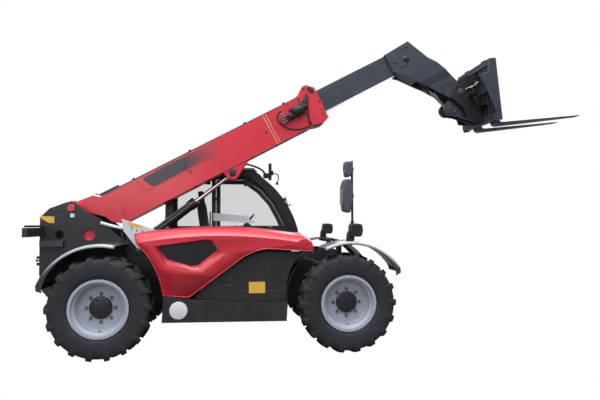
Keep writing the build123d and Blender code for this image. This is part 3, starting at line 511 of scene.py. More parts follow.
for hand in (1, -1):
    turned(pin_ends, [(0.046, 0), (0.046, 0.003), (0.043, 0.006), (0, 0.006)],
           stood(spot(-0.515, hand * 0.352, 1.743), (0, hand, 0)), 40)
    turned(pin_ends, [(0.074, 0), (0.074, 0.020), (0.060, 0.020), (0.052, 0.006), (0, 0.006)],
           stood(spot(-0.300, hand * 0.296, 1.407), (0, hand, 0)), 40)
    for x, z in ((-0.619, 1.648), (-0.678, 1.648), (-0.846, 1.471), (-0.792, 1.439), (-0.792, 1.392)):
        bolt(frame_bolts, spot(x, hand * frame_face, z), (0, hand, 0), 0.009, 0.008)
    for x, z in ((-0.56, 1.10), (-0.56, 0.86), (-0.74, 0.86), (-0.74, 1.10), (0.60, 0.70),
                 (0.60, 0.62), (2.20, 0.70), (2.20, 0.62), (2.60, 0.84), (3.05, 0.84)):
        bolt(frame_bolts, spot(x, hand * 0.340, z), (0, hand, 0), 0.012, 0.010)
    slab(lift_plates, [(-0.876, 1.645), (-0.713, 1.637), (-0.712, 1.558), (-0.779, 1.558),
                 (-0.876, 1.618)], hand * 0.3437, hand * 0.3447, upright)
add("pivot_pin_ends", pin_ends, red_gloss, "machine")
add("frame_bolts", frame_bolts, bolt_steel)

yellow_blank = finish("yellow_blank", (0.74, 0.42, 0.06), 0.42, drift=0.06, coat=0.2)
white_blank = finish("white_blank", (0.72, 0.73, 0.75), 0.40, drift=0.04, coat=0.2)
add("lift_point_plate", lift_plates, yellow_blank)
pin_plate = bmesh.new()
slab(pin_plate, oblong(-0.526, 1.627, -0.476, 1.674), -0.3437, -0.3447, upright)
add("pin_blank_plate", pin_plate, white_blank)
ledge_grey = finish("ledge_grey", (0.045, 0.047, 0.060), 0.4, drift=0.15, grain=0.2, rounding=0.003)
tread_plate = bmesh.new()
brick_pair(tread_plate, (-0.867, 0.342, 1.3352), (-0.593, 0.4005, 1.3382))
brick_pair(tread_plate, (-0.867, 0.4002, 1.262), (-0.593, 0.4022, 1.334))
for step in range(8):
    x = -0.86 + 0.034 * step
    brick_pair(tread_plate, (x, 0.4022, 1.268), (x + 0.014, 0.4042, 1.328))
add("tail_ledge_plates", tread_plate, ledge_grey)
pipe_runs = [[spot(x, y, z) for x, z in ((-0.30, 0.99), (0.05, 0.99), (0.40, 0.93), (0.90, 0.92),
                                         (2.10, 0.92), (2.60, 0.90), (3.10, 0.88))]
             for y in (0.30, 0.28, 0.26, -0.30, -0.28)]
pipe_steel = finish("pipe_steel", (0.16, 0.16, 0.165), 0.4, metal=0.6, drift=0.2)
tubes("frame_pipes", pipe_runs, 0.008, pipe_steel)
pivot_runs = [[spot(x, -0.08 + 0.04 * k, z) for x, z in (
    (-0.64 + 0.02 * k, 1.30), (-0.60 + 0.01 * k, 1.45), (-0.57, 1.60), (-0.50, 1.665))]
    for k in range(5)]
tubes("pivot_hoses", pivot_runs, 0.010, hose_rubber)
tail_parts = bmesh.new()
for y in (-0.30, 0.30):
    turned(tail_parts, [(0.010, 0), (0.010, 0.03), (0.016, 0.034), (0.016, 0.052), (0, 0.054)],
           stood(spot(-0.884, y, 1.091), (-1, 0, 0)), 20)
turned(tail_parts, [(0.026, 0), (0.026, 0.006), (0.0145, 0.010), (0.0145, -0.135), (0, -0.135)],
       stood(spot(-0.965, 0, 1.131), (0, 0, 1)), 24)
add("tail_fittings", tail_parts, bolt_steel)

# ---- lift and tilt cylinders -----------------------------------------------------------------
# Black painted barrels with a turned gland at the mouth, and ground chrome rods. A steel pipe
# runs beside each barrel to its gland, through two straps.
rod_chrome = finish("rod_chrome", (0.62, 0.60, 0.63), 0.12, metal=1.0, drift=0.05)
barrel_black = finish("barrel_black", (0.014, 0.013, 0.017), 0.34, coat=0.35, drift=0.15,
                      bare=(0.14, 0.13, 0.12), grain=0.05, rounding=0.003)
dress(barrel_black, "lift_cylinder_barrel", "tilt_cylinder_barrel")
dress(rod_chrome, "lift_cylinder_rod", "tilt_cylinder_rod")
boom_pivot = Vector(joints["boom_lift"]["pos_m"])
rise = radians(28)


def on_boom(u, v, y):
    """A place along and square to the boom from its pivot, and across the machine."""
    return boom_pivot + Vector((u * cos(rise) - v * sin(rise), y, u * sin(rise) + v * cos(rise)))


lift_eye, tilt_eye = on_boom(1.993, -0.516, 0), on_boom(5.186, -1.130, 0)
for title, base, tip, length, gland, pipe_size in (
        ("lift", spot(-0.327, 0, 0.803), lift_eye, 1.67, 0.072, 0.009),
        ("tilt", on_boom(4.910, -0.213, 0), tilt_eye, 0.56, 0.055, 0.007)):
    line = (tip - base).normalized()
    up = Vector((-line.z, 0, line.x))
    fittings = bmesh.new()
    turned(fittings, [(gland - 0.012, 0), (gland - 0.004, 0.0), (gland - 0.004, 0.008),
                      (gland - 0.016, 0.014), (gland - 0.016, 0.0)],
           stood(base + line * length, line), 40)
    for share in (0.30, 0.62):
        turned(fittings, [(gland - 0.0095, 0), (gland - 0.0055, 0), (gland - 0.0055, 0.03),
                          (gland - 0.0095, 0.03), (gland - 0.0095, 0)],
               stood(base + line * length * share, line), 40)
    add(title + "_gland_rings", fittings, bolt_steel, title + "_barrel")
    out = up * 0.5 + Vector((0, -0.866, 0))
    pipe = [base + line * along + out * (gland + off) for along, off in (
        (0.12, -0.02), (0.14, 0.01), (0.24, 0.01), (length - 0.16, 0.01), (length - 0.07, 0.01),
        (length - 0.05, -0.01))]
    tubes(title + "_cylinder_pipe", [pipe], pipe_size, pipe_steel, title + "_barrel")

# ---- outer boom --------------------------------------------------------------------------------
# A welded box in red with gussets to its pivot and a humped collar at its mouth. A plain dark
# stripe fades along each side; steel pipes run along the top and the lower edge in clips.
dress(red_gloss, "outer_boom")
stripe_ink = finish("stripe_ink", (0.030, 0.028, 0.034), 0.42, coat=0.3, drift=0.08)
along_boom = Vector((cos(rise), 0, sin(rise)))
from_pivot = boom_pivot.dot(along_boom)
fade(stripe_ink, along_boom, from_pivot + 1.50, from_pivot + 1.97, (0.50, 0.030, 0.050))
boom_face, lug_face, plate_face = 0.1602, 0.150, 0.1605
dark_red = finish("dark_red", (0.16, 0.012, 0.018), 0.4, drift=0.1)
clip_black = finish("clip_black", (0.018, 0.018, 0.020), 0.5, drift=0.2, rounding=0.002)
stripe, pin_line, grommets, lug_pins, lug_bolts = (bmesh.new() for _ in range(5))


def ribbon(form, line, wide, near, far, place):
    """Adds a narrow strip along a line of places, mitred at its corners."""
    left, right = [], []
    for k, (a, b) in enumerate(line):
        before, after = line[max(0, k - 1)], line[min(len(line) - 1, k + 1)]
        run, up = after[0] - before[0], after[1] - before[1]
        size = hypot(run, up)
        left.append((a - up / size * wide / 2, b + run / size * wide / 2))
        right.append((a + up / size * wide / 2, b - run / size * wide / 2))
    for k in range(len(line) - 1):
        slab(form, [left[k], left[k + 1], right[k + 1], right[k]], near, far, place)


for hand in (1, -1):
    side_face = hand * boom_face
    slab(stripe, [(0.924, -0.073), (0.972, -0.175), (0.990, -0.196), (1.015, -0.205), (1.037, -0.207),
                  (1.950, -0.192), (1.950, -0.040), (1.30, -0.032), (0.945, -0.045), (0.928, -0.055)],
         side_face, hand * 0.1610, on_boom)
    ribbon(pin_line, [(0.835, -0.040), (0.876, -0.190), (0.893, -0.210), (0.925, -0.220),
                      (1.643, -0.214), (1.90, -0.209)], 0.006, side_face, hand * 0.1612, on_boom)
    for u, v in ((1.504, -0.253), (2.653, -0.241)):
        ribbon(grommets, [(u - 0.006, v + 0.022), (u + 0.006, v - 0.022)], 0.018, side_face,
               hand * 0.166, on_boom)
    turned(lug_pins, [(0.050, 0), (0.050, 0.006), (0.034, 0.010), (0.034, 0.018), (0.030, 0.022),
                      (0, 0.022)], stood(lift_eye + Vector((0, hand * lug_face, 0)), (0, hand, 0)), 32)
    for u, v in ((1.921, -0.470), (2.02, -0.464), (2.060, -0.500), (1.945, -0.560)):
        bolt(lug_bolts, on_boom(u, v, hand * lug_face), (0, hand, 0), 0.008, 0.008)
add("boom_stripe", stripe, stripe_ink, "boom")
add("boom_pin_line", pin_line, dark_red, "boom")
add("boom_grommets", grommets, hose_rubber, "boom")
add("lift_pin_heads", lug_pins, clip_black, "boom")
add("lift_pin_bolts", lug_bolts, bolt_steel, "boom")

weld_red = finish("weld_red", (0.55, 0.028, 0.045), 0.45, coat=0.25, drift=0.12, grain=0.4,
                  grain_size=260)
weld_runs = []
for hand in (1, -1):
    weld_runs.append([on_boom(0.357 + 0.05 * cos(tau * k / 24), -0.235 + 0.05 * sin(tau * k / 24),
                              hand * 0.1762) for k in range(25)])
    for line in (((0.345, -0.012), (0.445, -0.047), (0.507, -0.118), (0.527, -0.225),
                  (0.505, -0.338), (0.44, -0.446)),
                 ((3.245, -0.020), (3.246, -0.20), (3.254, -0.445))):
        weld_runs.append([on_boom(u, v, hand * plate_face) for u, v in line])
    weld_runs.append([on_boom(u, -0.4495, hand * 0.158) for u in (0.45, 1.2, 2.2, 3.24)])
tubes("boom_welds", weld_runs, 0.0035, weld_red, "boom", smooth=False)

top_pipes = [[on_boom(u, v, y) for u, v in ((0.30, 0.058), (0.36, -0.001), (0.60, -0.003),
                                            (3.20, -0.003), (3.30, 0.010))]
             for y in (-0.135, -0.112, 0.112, 0.135)]
tubes("boom_top_pipes", top_pipes, 0.008, pipe_steel, "boom", smooth=False)
sleeve = [on_boom(0.34, 0.016, -0.1235), on_boom(0.608, 0.013, -0.1235)]
tubes("boom_pipe_sleeve", [sleeve], 0.017, hose_rubber, "boom")
low_pipes = [[on_boom(u, v, y) for u, v in ((2.32, -0.452), (2.36, -0.462), (3.28, -0.462),
                                            (3.36, -0.485), (3.40, -0.489))]
             for y in (-0.145, -0.122)]
tubes("boom_low_pipes", low_pipes, 0.008, pipe_steel, "boom", smooth=False)
clips = bmesh.new()
for u in (0.815, 1.631, 2.453, 3.05):
    for y in (-0.1235, 0.1235):
        slab(clips, [(u - 0.018, -0.015), (u + 0.018, -0.015), (u + 0.018, 0.010), (u + 0.008, 0.018),
                     (u - 0.008, 0.018), (u - 0.018, 0.010)], y - 0.028, y + 0.028, on_boom)
for u in (2.483, 2.695, 2.836, 3.10):
    slab(clips, oblong(u - 0.018, -0.450, u + 0.018, -0.474), -0.160, -0.108, on_boom)
round_edges(add("boom_clips", clips, clip_black, "boom"), 0.003)
tape = finish("pale_tape", (0.66, 0.46, 0.30), 0.5, drift=0.1)
straps = bmesh.new()
strap_face = 0.1612
for u in (2.719, 2.757):
    for hand in (1, -1):
        slab(straps, oblong(u - 0.004, -0.452, u + 0.004, -0.013), hand * boom_face, hand * strap_face,
             on_boom)
    for low, high in ((-0.0149, -0.0137), (-0.4512, -0.4502)):
        slab(straps, oblong(u - 0.004, low, u + 0.004, high), -strap_face, strap_face, on_boom)
add("boom_tapes", straps, tape, "boom")

collar_face = 0.1837
collar_skins = bmesh.new()
hump = [(3.262, -0.012), (3.325, 0.052), (3.364, 0.080), (3.395, 0.093), (3.440, 0.089),
        (3.484, 0.048), (3.524, 0.010), (3.529, -0.060), (3.512, -0.330), (3.508, -0.403),
        (3.500, -0.440), (3.461, -0.474), (3.400, -0.476), (3.366, -0.455), (3.262, -0.452)]
for hand in (1, -1):
    slab(collar_skins, hump, hand * 0.150, hand * 0.1835, on_boom)
round_edges(add("collar_doublers", collar_skins, red_gloss, "boom"), 0.004)

# the collar's fittings: hose loop, valve cover, fat hoses and roller_parts on the engine side
loop_run = [[on_boom(u, v, -0.166) for u, v in (
    (2.965, -0.075), (2.905, -0.085), (2.872, -0.125), (2.868, -0.205), (2.915, -0.30),
    (2.974, -0.362), (3.066, -0.410), (3.156, -0.432), (3.225, -0.430))]]
tubes("collar_hose_loop", loop_run, 0.009, hose_rubber, "boom")
dress(clip_black, "boom_hose_block")
cover = bmesh.new()
for u, v, y, size, stretch in ((3.165, -0.178, -0.222, 0.074, 1.40),
                               (3.262, -0.166, -0.205, 0.052, 1.35),
                               (3.055, -0.205, -0.200, 0.050, 1.25)):
    egg = [(0, -size * stretch), *((size * cos(radians(a)), size * stretch * sin(radians(a)))
                                   for a in range(-75, 76, 15)), (0, size * stretch)]
    turned(cover, egg, stood(on_boom(u, v, y), (cos(rise - 0.20), 0, sin(rise - 0.20))), 28)
add("valve_cover", cover, hose_rubber, "boom")
fat_runs = [[on_boom(u, v + 0.022 * k, y) for u, v, y in (
    (2.955, -0.230, -0.195), (3.02, -0.235, -0.225), (3.13, -0.215, -0.252), (3.25, -0.165, -0.252),
    (3.34, -0.115, -0.225), (3.39, -0.06, -0.200))] for k in range(3)]
tubes("collar_hoses", fat_runs, 0.012, hose_rubber, "boom")
unions = bmesh.new()
for k in range(4):
    turned(unions, [(0.014, 0), (0.014, 0.022), (0.010, 0.024), (0.010, 0.05), (0.013, 0.052),
                    (0.013, 0.066), (0, 0.068)],
           stood(on_boom(2.972, -0.135 - 0.036 * k, -0.212), (-cos(rise), -0.2, -sin(rise))), 6)
for u, v in ((3.50, -0.19), (3.47, -0.36), (3.33, -0.36), (3.49, -0.30)):
    for hand in (-1, 1):
        bolt(unions, on_boom(u, v, hand * collar_face), (0, hand, 0), 0.009, 0.009)
add("collar_fittings", unions, bolt_steel, "boom")
roller_parts = bmesh.new()
for hand in (1, -1):
    ribbon(roller_parts, [(3.442, 0.042), (3.486, -0.044)], 0.040, hand * 0.184, hand * 0.206, on_boom)
    turned(roller_parts, [(0.017, 0), (0.017, 0.006), (0.010, 0.008), (0, 0.008)],
           stood(on_boom(3.385, 0.055, hand * collar_face), (0, hand, 0)), 24)
round_edges(add("collar_rollers", roller_parts, hose_rubber, "boom"), 0.012, 3)
side_run = [[on_boom(u, v, -0.190) for u, v in ((3.345, -0.135), (3.310, -0.21), (3.275, -0.30),
                                             (3.252, -0.37), (3.236, -0.43))]]
tubes("collar_side_hose", side_run, 0.010, hose_rubber, "boom")

# ---- inner boom and its head ----------------------------------------------------------------
# The inner box slides out of the collar and carries the folded goose-neck head, all in a dark
# blue-grey paint that has streaks where the wear pads rub it.
blue_black = finish("blue_black", (0.036, 0.040, 0.056), 0.34, coat=0.45, drift=0.14,
                    bare=(0.16, 0.16, 0.17), grain=0.03, rounding=0.004)
dress(blue_black, "inner_boom")
rub_marks = finish("rub_marks", (0.055, 0.060, 0.078), 0.28, coat=0.3, drift=0.5, grain=0.2)
marks, head_parts, head_skins = bmesh.new(), bmesh.new(), bmesh.new()
# doubler plates on the head's upper half end in a fold that slopes back to the lower half
doubler = [(4.652, -0.030), (5.052, -0.002), (5.206, -0.330), (5.303, -0.457), (5.368, -0.600),
           (4.942, -0.600), (4.782, -0.403), (4.652, -0.300)]
for hand in (1, -1):
    near, far = hand * 0.1452, hand * plate_face
    slab(head_skins, doubler, near, far, on_boom)
    fold = [head_skins.verts.new(on_boom(*at)) for at in (
        (5.368, -0.600, far), (4.942, -0.600, far), (5.023, -0.700, near), (5.399, -0.700, near),
        (5.368, -0.600, near), (4.942, -0.600, near))]
    for face in ((0, 1, 2, 3), (0, 3, 4), (1, 5, 2), (2, 5, 4, 3)):
        head_skins.faces.new([fold[k] for k in face])
    for v, wide, start, end in ((-0.075, 0.010, 3.60, 4.50), (-0.300, 0.014, 3.60, 4.62),
                                (-0.285, 0.004, 3.62, 4.35), (-0.095, 0.003, 3.58, 4.60)):
        slab(marks, [(start, v - wide / 2), (end, v - wide / 3), (end, v + wide / 3),
                     (start, v + wide / 2)], hand * 0.1201, hand * 0.1205, on_boom)
    turned(head_parts, [(0.046, 0), (0.046, 0.005), (0.030, 0.009), (0.030, 0.022), (0.024, 0.028),
                        (0, 0.028)], stood(on_boom(4.910, -0.213, far), (0, hand, 0)), 32)
    turned(head_parts, [(0.020, 0), (0.020, 0.010), (0.014, 0.013), (0, 0.013)],
           stood(on_boom(4.985, -0.060, far), (0, hand, 0)), 24)
    for u, v in ((4.80, -0.27), (4.735, -0.19), (4.86, -0.30)):
        bolt(head_parts, on_boom(u, v, far), (0, hand, 0), 0.012, 0.012)
    # bent handle plate on the lower part of each side plate
    ribbon(head_parts, [(5.17, -0.905), (5.20, -0.80), (5.335, -0.795), (5.325, -0.84)], 0.016,
           near, hand * 0.1507, on_boom)
add("head_doublers", head_skins, blue_black, "boom_extension", crease=20)
add("pad_rub_marks", marks, rub_marks, "boom_extension")
add("head_fittings", head_parts, black_paint, "boom_extension")
weld_dark = finish("weld_dark", (0.030, 0.032, 0.042), 0.5, drift=0.2, grain=0.4, grain_size=260)
head_welds = [[on_boom(u, v, hand * y) for u, v in line] for hand in (1, -1) for y, line in (
    (0.1608, ((4.655, -0.035), (4.657, -0.150), (4.690, -0.235), (4.655, -0.296))),
    (0.1455, ((5.31, -0.90), (5.40, -0.885), (5.49, -0.93))))]
tubes("head_welds", head_welds, 0.0035, weld_dark, "boom_extension")
head_hoses = [[on_boom(u, v, y) for u, v in (
    (4.70, -0.20), (4.82, -0.29), (4.92, -0.40), (5.00, -0.52), (5.05, -0.61))]
    for y in (-0.105, -0.085, 0.085, 0.105)]
tubes("head_hoses", head_hoses, 0.009, hose_rubber, "boom_extension")

# ---- fork carriage and forks -------------------------------------------------------------------
# A welded frame of three beams with a sheet behind them hangs on the head by its coupler, and
# two forged forks hook over its top beam. Pins have keeper plates; a pale lock bar crosses it.
dress(blue_black, "carriage")
fork_steel = finish("fork_steel", (0.036, 0.037, 0.046), 0.38, coat=0.3, drift=0.2,
                    bare=(0.26, 0.25, 0.24), grain=0.12, grain_size=180, rounding=0.004)
dress(fork_steel, "forks")
tilt_pin = Vector(joints["carriage_tilt"]["pos_m"])
coupler_face, cheek_face = 0.177, 0.518


def lean(z):
    """The sloping line, forward at height z, that the shanks of the forks stand against."""
    return 5.140 - 0.0957 * (z - 2.955)


back_sheet, coupler, cheeks = bmesh.new(), bmesh.new(), bmesh.new()
slab(back_sheet, [(lean(3.05) - 0.034, 3.052), (lean(3.722) - 0.034, 3.720),
                  (lean(3.722) - 0.028, 3.720), (lean(3.05) - 0.028, 3.052)], -0.489, 0.489, upright)
for y in (-0.445, -0.355, -0.265, -0.22, 0.22, 0.265, 0.355, 0.445):
    slab(back_sheet, [(lean(3.06) - 0.062, 3.06), (lean(3.71) - 0.062, 3.71),
                      (lean(3.71) - 0.034, 3.71), (lean(3.06) - 0.034, 3.06)], y - 0.009, y + 0.009,
         upright)
round_edges(add("carriage_back_sheet", back_sheet, black_paint, "fork_carriage"), 0.002)
coupler_line = [(4.671, 3.577), (4.578, 3.347), (4.640, 3.262), (4.760, 3.180), (4.830, 2.990),
                (5.055, 2.990), (5.020, 3.640), (4.800, 3.660)]
gusset_line = [(5.010, 3.640), (5.075, 3.640), (5.140, 3.085), (5.060, 3.085), (4.880, 3.500),
               (4.880, 3.560)]
for hand in (1, -1):
    slab(coupler, coupler_line, hand * 0.163, hand * coupler_face, upright)
    slab(cheeks, gusset_line, hand * 0.5102, hand * cheek_face, upright)
round_edges(add("cheek_gussets", cheeks, blue_black, "fork_carriage"), 0.003)
round_edges(add("coupler_plates", coupler, black_paint, "fork_carriage"), 0.003)
pin_heads = bmesh.new()
for hand in (1, -1):
    turned(pin_heads, [(0.060, 0), (0.060, 0.004), (0.038, 0.008), (0.038, 0.020), (0.032, 0.026),
                       (0, 0.026)],
           stood(tilt_pin + Vector((0, hand * coupler_face, 0)), (0, hand, 0)), 36)
    turned(pin_heads, [(0.088, 0), (0.088, 0.003), (0.074, 0.005), (0.070, 0.001), (0.044, 0.001),
                       (0.040, 0.005), (0, 0.005)],
           stood(tilt_eye + Vector((0, hand * 0.112, 0)), (0, hand, 0)), 40)
    for k in range(3):
        turn = radians(20 + 120 * k)
        bolt(pin_heads, tilt_pin + Vector((0.049 * cos(turn), hand * 0.181, 0.049 * sin(turn))),
             (0, hand, 0), 0.007, 0.007)
    for x, z in ((4.93, 3.56), (5.00, 3.56), (4.93, 3.08), (5.01, 3.08)):
        bolt(pin_heads, spot(x, hand * coupler_face, z), (0, hand, 0), 0.011, 0.010)
    for x, z in ((5.045, 3.55), (5.10, 3.18), (5.06, 3.36)):
        bolt(pin_heads, spot(x, hand * cheek_face, z), (0, hand, 0), 0.010, 0.010)
add("coupler_pin_heads", pin_heads, bolt_steel, "fork_carriage")
pale_bar = finish("pale_bar", (0.66, 0.66, 0.68), 0.35, metal=0.2, drift=0.08)
bar_runs = [[spot(*at) for at in run] for run in (
    ((4.79, -0.190, 3.445), (4.865, -0.190, 3.475), (4.93, -0.190, 3.505)),
    ((4.93, -0.190, 3.505), (4.945, -0.205, 3.535), (4.95, -0.22, 3.545)))]
tubes("lock_bar", bar_runs, 0.011, pale_bar, "fork_carriage")
lock_parts = bmesh.new()
for x, z in ((4.815, 3.455), (4.905, 3.492)):
    turned(lock_parts, [(0.016, -0.012), (0.016, 0.012), (0, 0.012)],
           stood(spot(x, -0.190, z), (0.9, 0, 0.38)), 20)
    brick(lock_parts, (x - 0.012, -0.190, z - 0.012), (x + 0.012, -0.176, z + 0.012))
round_edges(add("lock_bar_guides", lock_parts, black_paint, "fork_carriage"), 0.002)
hose_runs = []
for k in range(4):
    for hand, drop in ((-1, 0.01), (1, 0)):
        y, rise_on = 0.20 + 0.022 * k, 0.02 * k
        hose_runs.append([spot(x, hand * out, z) for x, out, z in (
            (4.87, y, 3.36 - drop * k), (4.90, y + 0.02, 3.30), (4.94, y + 0.02, 3.20),
            (5.00, y, 3.12 + rise_on), (5.02, y - 0.01, 3.20 + rise_on))])
tubes("carriage_hoses", hose_runs, 0.009, hose_rubber, "fork_carriage")
blocks = bmesh.new()
brick_pair(blocks, (4.84, 0.185, 3.35), (4.92, 0.285, 3.43))
brick_pair(blocks, (4.86, 0.177, 3.38), (4.90, 0.20, 3.41))
brick_pair(blocks, (5.00, 0.18, 3.20), (5.075, 0.29, 3.25))
round_edges(add("coupler_blocks", blocks, black_paint, "fork_carriage"), 0.003)

# ---- engine pod: engine, skirt and side panel --------------------------------------------------
# The engine sits across the machine's right side on a cradle, closed in by a flat skirt with a
# blank disc, a black moulded panel with upright ribs and a hand hollow, and the red cowl.
cast_grey = finish("cast_grey", (0.045, 0.046, 0.05), 0.6, metal=0.2, drift=0.25, grime=0.3,
                   grain=0.35, grain_size=120, rounding=0.008)
dress(cast_grey, "engine_block")
dark_plastic = finish("dark_plastic", (0.012, 0.012, 0.015), 0.42, coat=0.2, drift=0.12, grime=0.10,
                      bare=(0.09, 0.09, 0.095), grain=0.12, grain_size=700, rounding=0.004)
dress(dark_plastic, "side_skirt", "side_panel")
engine_parts = bmesh.new()
brick(engine_parts, (1.00, -0.80, 1.24), (1.62, -0.55, 1.31))
for k in range(4):
    turned(engine_parts, [(0.030, 0), (0.030, 0.022), (0.018, 0.026), (0, 0.026)],
           stood(spot(1.08 + 0.155 * k, -0.675, 1.31), (0, 0, 1)), 20)
for k in range(14):
    x = 0.93 + 0.07 * k
    brick(engine_parts, (x, -0.892, 0.66), (x + 0.012, -0.88, 1.20))
turned(engine_parts, [(0, 0), (0.11, 0), (0.11, 0.05), (0.06, 0.06), (0.06, 0.09), (0.15, 0.09),
                      (0.15, 0.11), (0, 0.11)], stood(spot(1.90, -0.66, 0.92), (1, 0, 0)), 40)
turned(engine_parts, [(0, 0), (0.075, 0), (0.085, 0.01), (0.085, 0.33), (0.075, 0.34), (0, 0.34)],
       stood(spot(0.98, -0.80, 1.17), (1, 0, 0)), 40)
round_edges(add("engine_parts", engine_parts, cast_grey, "machine"), 0.006)
air_box = bmesh.new()
turned(air_box, [(0, 0), (0.10, 0), (0.11, 0.012), (0.11, 0.40), (0.10, 0.42), (0.04, 0.42),
                 (0.04, 0.47), (0, 0.47)], stood(spot(0.62, -0.72, 1.20), (1, 0, 0)), 44)
for k in range(5):
    turned(air_box, [(0.112, 0), (0.116, 0.004), (0.112, 0.008), (0.112, 0)],
           stood(spot(0.68 + 0.07 * k, -0.72, 1.20), (1, 0, 0)), 44)
add("air_cleaner", air_box, dark_plastic)
engine_pipes = [[spot(*at) for at in run] for run in (
    ((1.09, -0.72, 1.20), (1.16, -0.72, 1.22), (1.22, -0.72, 1.30), (1.30, -0.70, 1.335),
     (1.5, -0.66, 1.33)),
    ((1.70, -0.55, 1.24), (1.76, -0.55, 1.30), (1.90, -0.58, 1.30), (2.00, -0.66, 1.20),
     (2.06, -0.70, 1.02)))]
tubes("engine_pipes", engine_pipes, 0.028, hose_rubber, "machine")

disc = bmesh.new()
turned(disc, [(0.101, 0), (0.101, 0.0008), (0.0995, 0.0014), (0, 0.0014)],
       stood(spot(0.871, -1.0602, 0.551), (0, -1, 0)), 64)
add("skirt_blank_disc", disc, white_blank)
panel_form = bmesh.new()
panel_line = ([(1.050, 0.6690), (1.474, 0.6325), (2.130, 0.6175), (2.131, 0.856), (2.192, 1.034),
               (2.300, 1.160), (2.310, 1.205), (1.890, 1.215)]
              + arc_through((1.890, 1.215), (1.720, 1.175), (1.600, 1.112), 8)[1:]
              + [(1.340, 0.960), (1.110, 0.770)])
sheet(panel_form, [panel_line], 0.015, -0.960)
rim_line = arc_through((1.890, 1.202), (1.726, 1.162), (1.612, 1.104), 8)[::-1] + [(2.296, 1.192)]
ribbon(panel_form, rim_line, 0.014, -0.974, -0.983, upright)
for step in range(13):
    x = 1.500 + 0.050 * step
    low = 0.846 if x > 1.66 else 0.90
    high = min(1.150, 1.055 + (x - 1.50) * 0.9)
    brick(panel_form, (x, -0.980, low), (x + 0.014, -0.974, high))
panel_skin = add("panel_skin", panel_form, dark_plastic)
round_edges(panel_skin, 0.003)
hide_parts("side_panel")
swell_form, hollow = bmesh.new(), bmesh.new()
swell_line = ([(1.132, 0.663), (1.138, 0.728)]
              + arc_through((1.180, 0.752), (1.270, 0.790), (1.345, 0.824), 5) + [(1.530, 0.826)]
              + arc_through((1.548, 0.822), (1.590, 0.785), (1.638, 0.757), 5)
              + [(2.105, 0.754), (2.112, 0.6190), (1.474, 0.6335)])
sheet(swell_form, [swell_line], 0.030, -0.975)
round_edges(add("panel_swell", swell_form, dark_plastic, crease=50), 0.012, 3)
slot_z, slot_radius = 0.792, 0.020
slot_line = [(x + slot_radius * cos(start + pi * k / 8), slot_z + slot_radius * sin(start + pi * k / 8))
             for x, start in ((1.372, pi / 2), (1.500, -pi / 2)) for k in range(9)]
sheet(hollow, [slot_line], 0.0012, -1.0052)
add("panel_hollow", hollow, hose_rubber, "machine")
grip = bmesh.new()
slot_x = (1.372 + 1.500) / 2
wide_line = [(slot_x + (x - slot_x) * 1.12, slot_z + (z - slot_z) * 1.5) for x, z in slot_line]
sheet(grip, [wide_line, slot_line], 0.006, -1.0045)
round_edges(add("panel_grip_rim", grip, dark_plastic, crease=50), 0.0025)
label = bmesh.new()
for low, near, far in ((0.722, -1.0053, -1.0060), (0.752, -0.9812, -1.0053)):
    slab(label, oblong(1.675, low, 1.866, 0.852), near, far, upright)
add("panel_blank_label", label, yellow_blank)

# ---- engine cowl ---------------------------------------------------------------------------------
# One red moulding with a crowned top and a rounded nose, hinged at the boom side. A window of
# black mesh sits in a recess with sloping sides, and a rolled lip runs along the lower edge.
cowl = bmesh.new()
side_y, bulge_y, window_y, hinge_y = -1.060, -0.800, -1.034, -0.430
steps = 28
crown = (arc_through((0.345, 1.432), (1.340, 1.508), (2.250, 1.425), steps)
         + arc_through((2.250, 1.425), (2.432, 1.330), (2.433, 1.211), 8)[1:])
shoulder = (arc_through((0.392, 1.322), (1.340, 1.400), (2.250, 1.318), steps)
            + arc_through((2.250, 1.318), (2.436, 1.272), (2.433, 1.211), 8)[1:])
bulge = [(0, 0), (0.22, 0.045), (0.42, 0.13), (0.60, 0.27), (0.75, 0.45), (0.87, 0.66), (0.95, 0.85),
         (1, 1)]
rows = []
for (cx, cz), (sx, sz) in zip(crown, shoulder):
    line = [(cx, hinge_y, cz), (cx, -0.620, cz)]
    line += [(cx + (sx - cx) * drop, bulge_y + (side_y - bulge_y) * out, cz + (sz - cz) * drop)
             for out, drop in bulge]
    rows.append([cowl.verts.new(spot(*at)) for at in line])
join_rows(cowl, rows)
low_edge = ([(2.433, 1.211), (1.889, 1.246)]
            + arc_through((1.889, 1.246), (1.720, 1.206), (1.590, 1.140), 8)[1:]
            + [(1.2875, 0.918), (0.985, 0.696), (0.700, 0.724)])
rear_edge = arc_through((0.700, 0.724), (0.600, 1.045), (0.392, 1.322), 16)
recess = [(0.577, 1.284), (1.190, 1.362), (1.266, 1.348), (1.440, 1.198), (1.135, 0.980),
          (1.015, 0.993), (0.736, 1.034)]
window = [(0.635, 1.278), (1.169, 1.340), (1.238, 1.326), (1.315, 1.241), (1.089, 1.062),
          (1.007, 1.052), (0.732, 1.137)]
side_form = bmesh.new()
sheet(side_form, [shoulder + low_edge[1:] + rear_edge[1:-1], recess], 0.001,
      side_y + 0.001)
other_faces = [face for face in side_form.faces if abs(face.normal.y) < 0.9
          or face.calc_center_median().y > side_y + 0.0005]
bmesh.ops.delete(side_form, geom=other_faces, context="FACES")
flat_side = bpy.data.meshes.new("flat_side")
side_form.to_mesh(flat_side)
side_form.free()
cowl.from_mesh(flat_side)
bpy.data.meshes.remove(flat_side)
outer = [cowl.verts.new(spot(x, side_y, z)) for x, z in recess]
inner = [cowl.verts.new(spot(x, window_y, z)) for x, z in window]
for k in range(len(outer)):
    cowl.faces.new((outer[k - 1], outer[k], inner[k], inner[k - 1]))
bmesh.ops.remove_doubles(cowl, verts=cowl.verts, dist=2e-4)
hood_skin = add("cowl_skin", cowl, red_gloss, "hood", 32)
wall = hood_skin.modifiers.new("wall", "SOLIDIFY")
wall.thickness = 0.006
wall.offset = -1
wall.use_even_offset = False
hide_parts("engine_cowl")
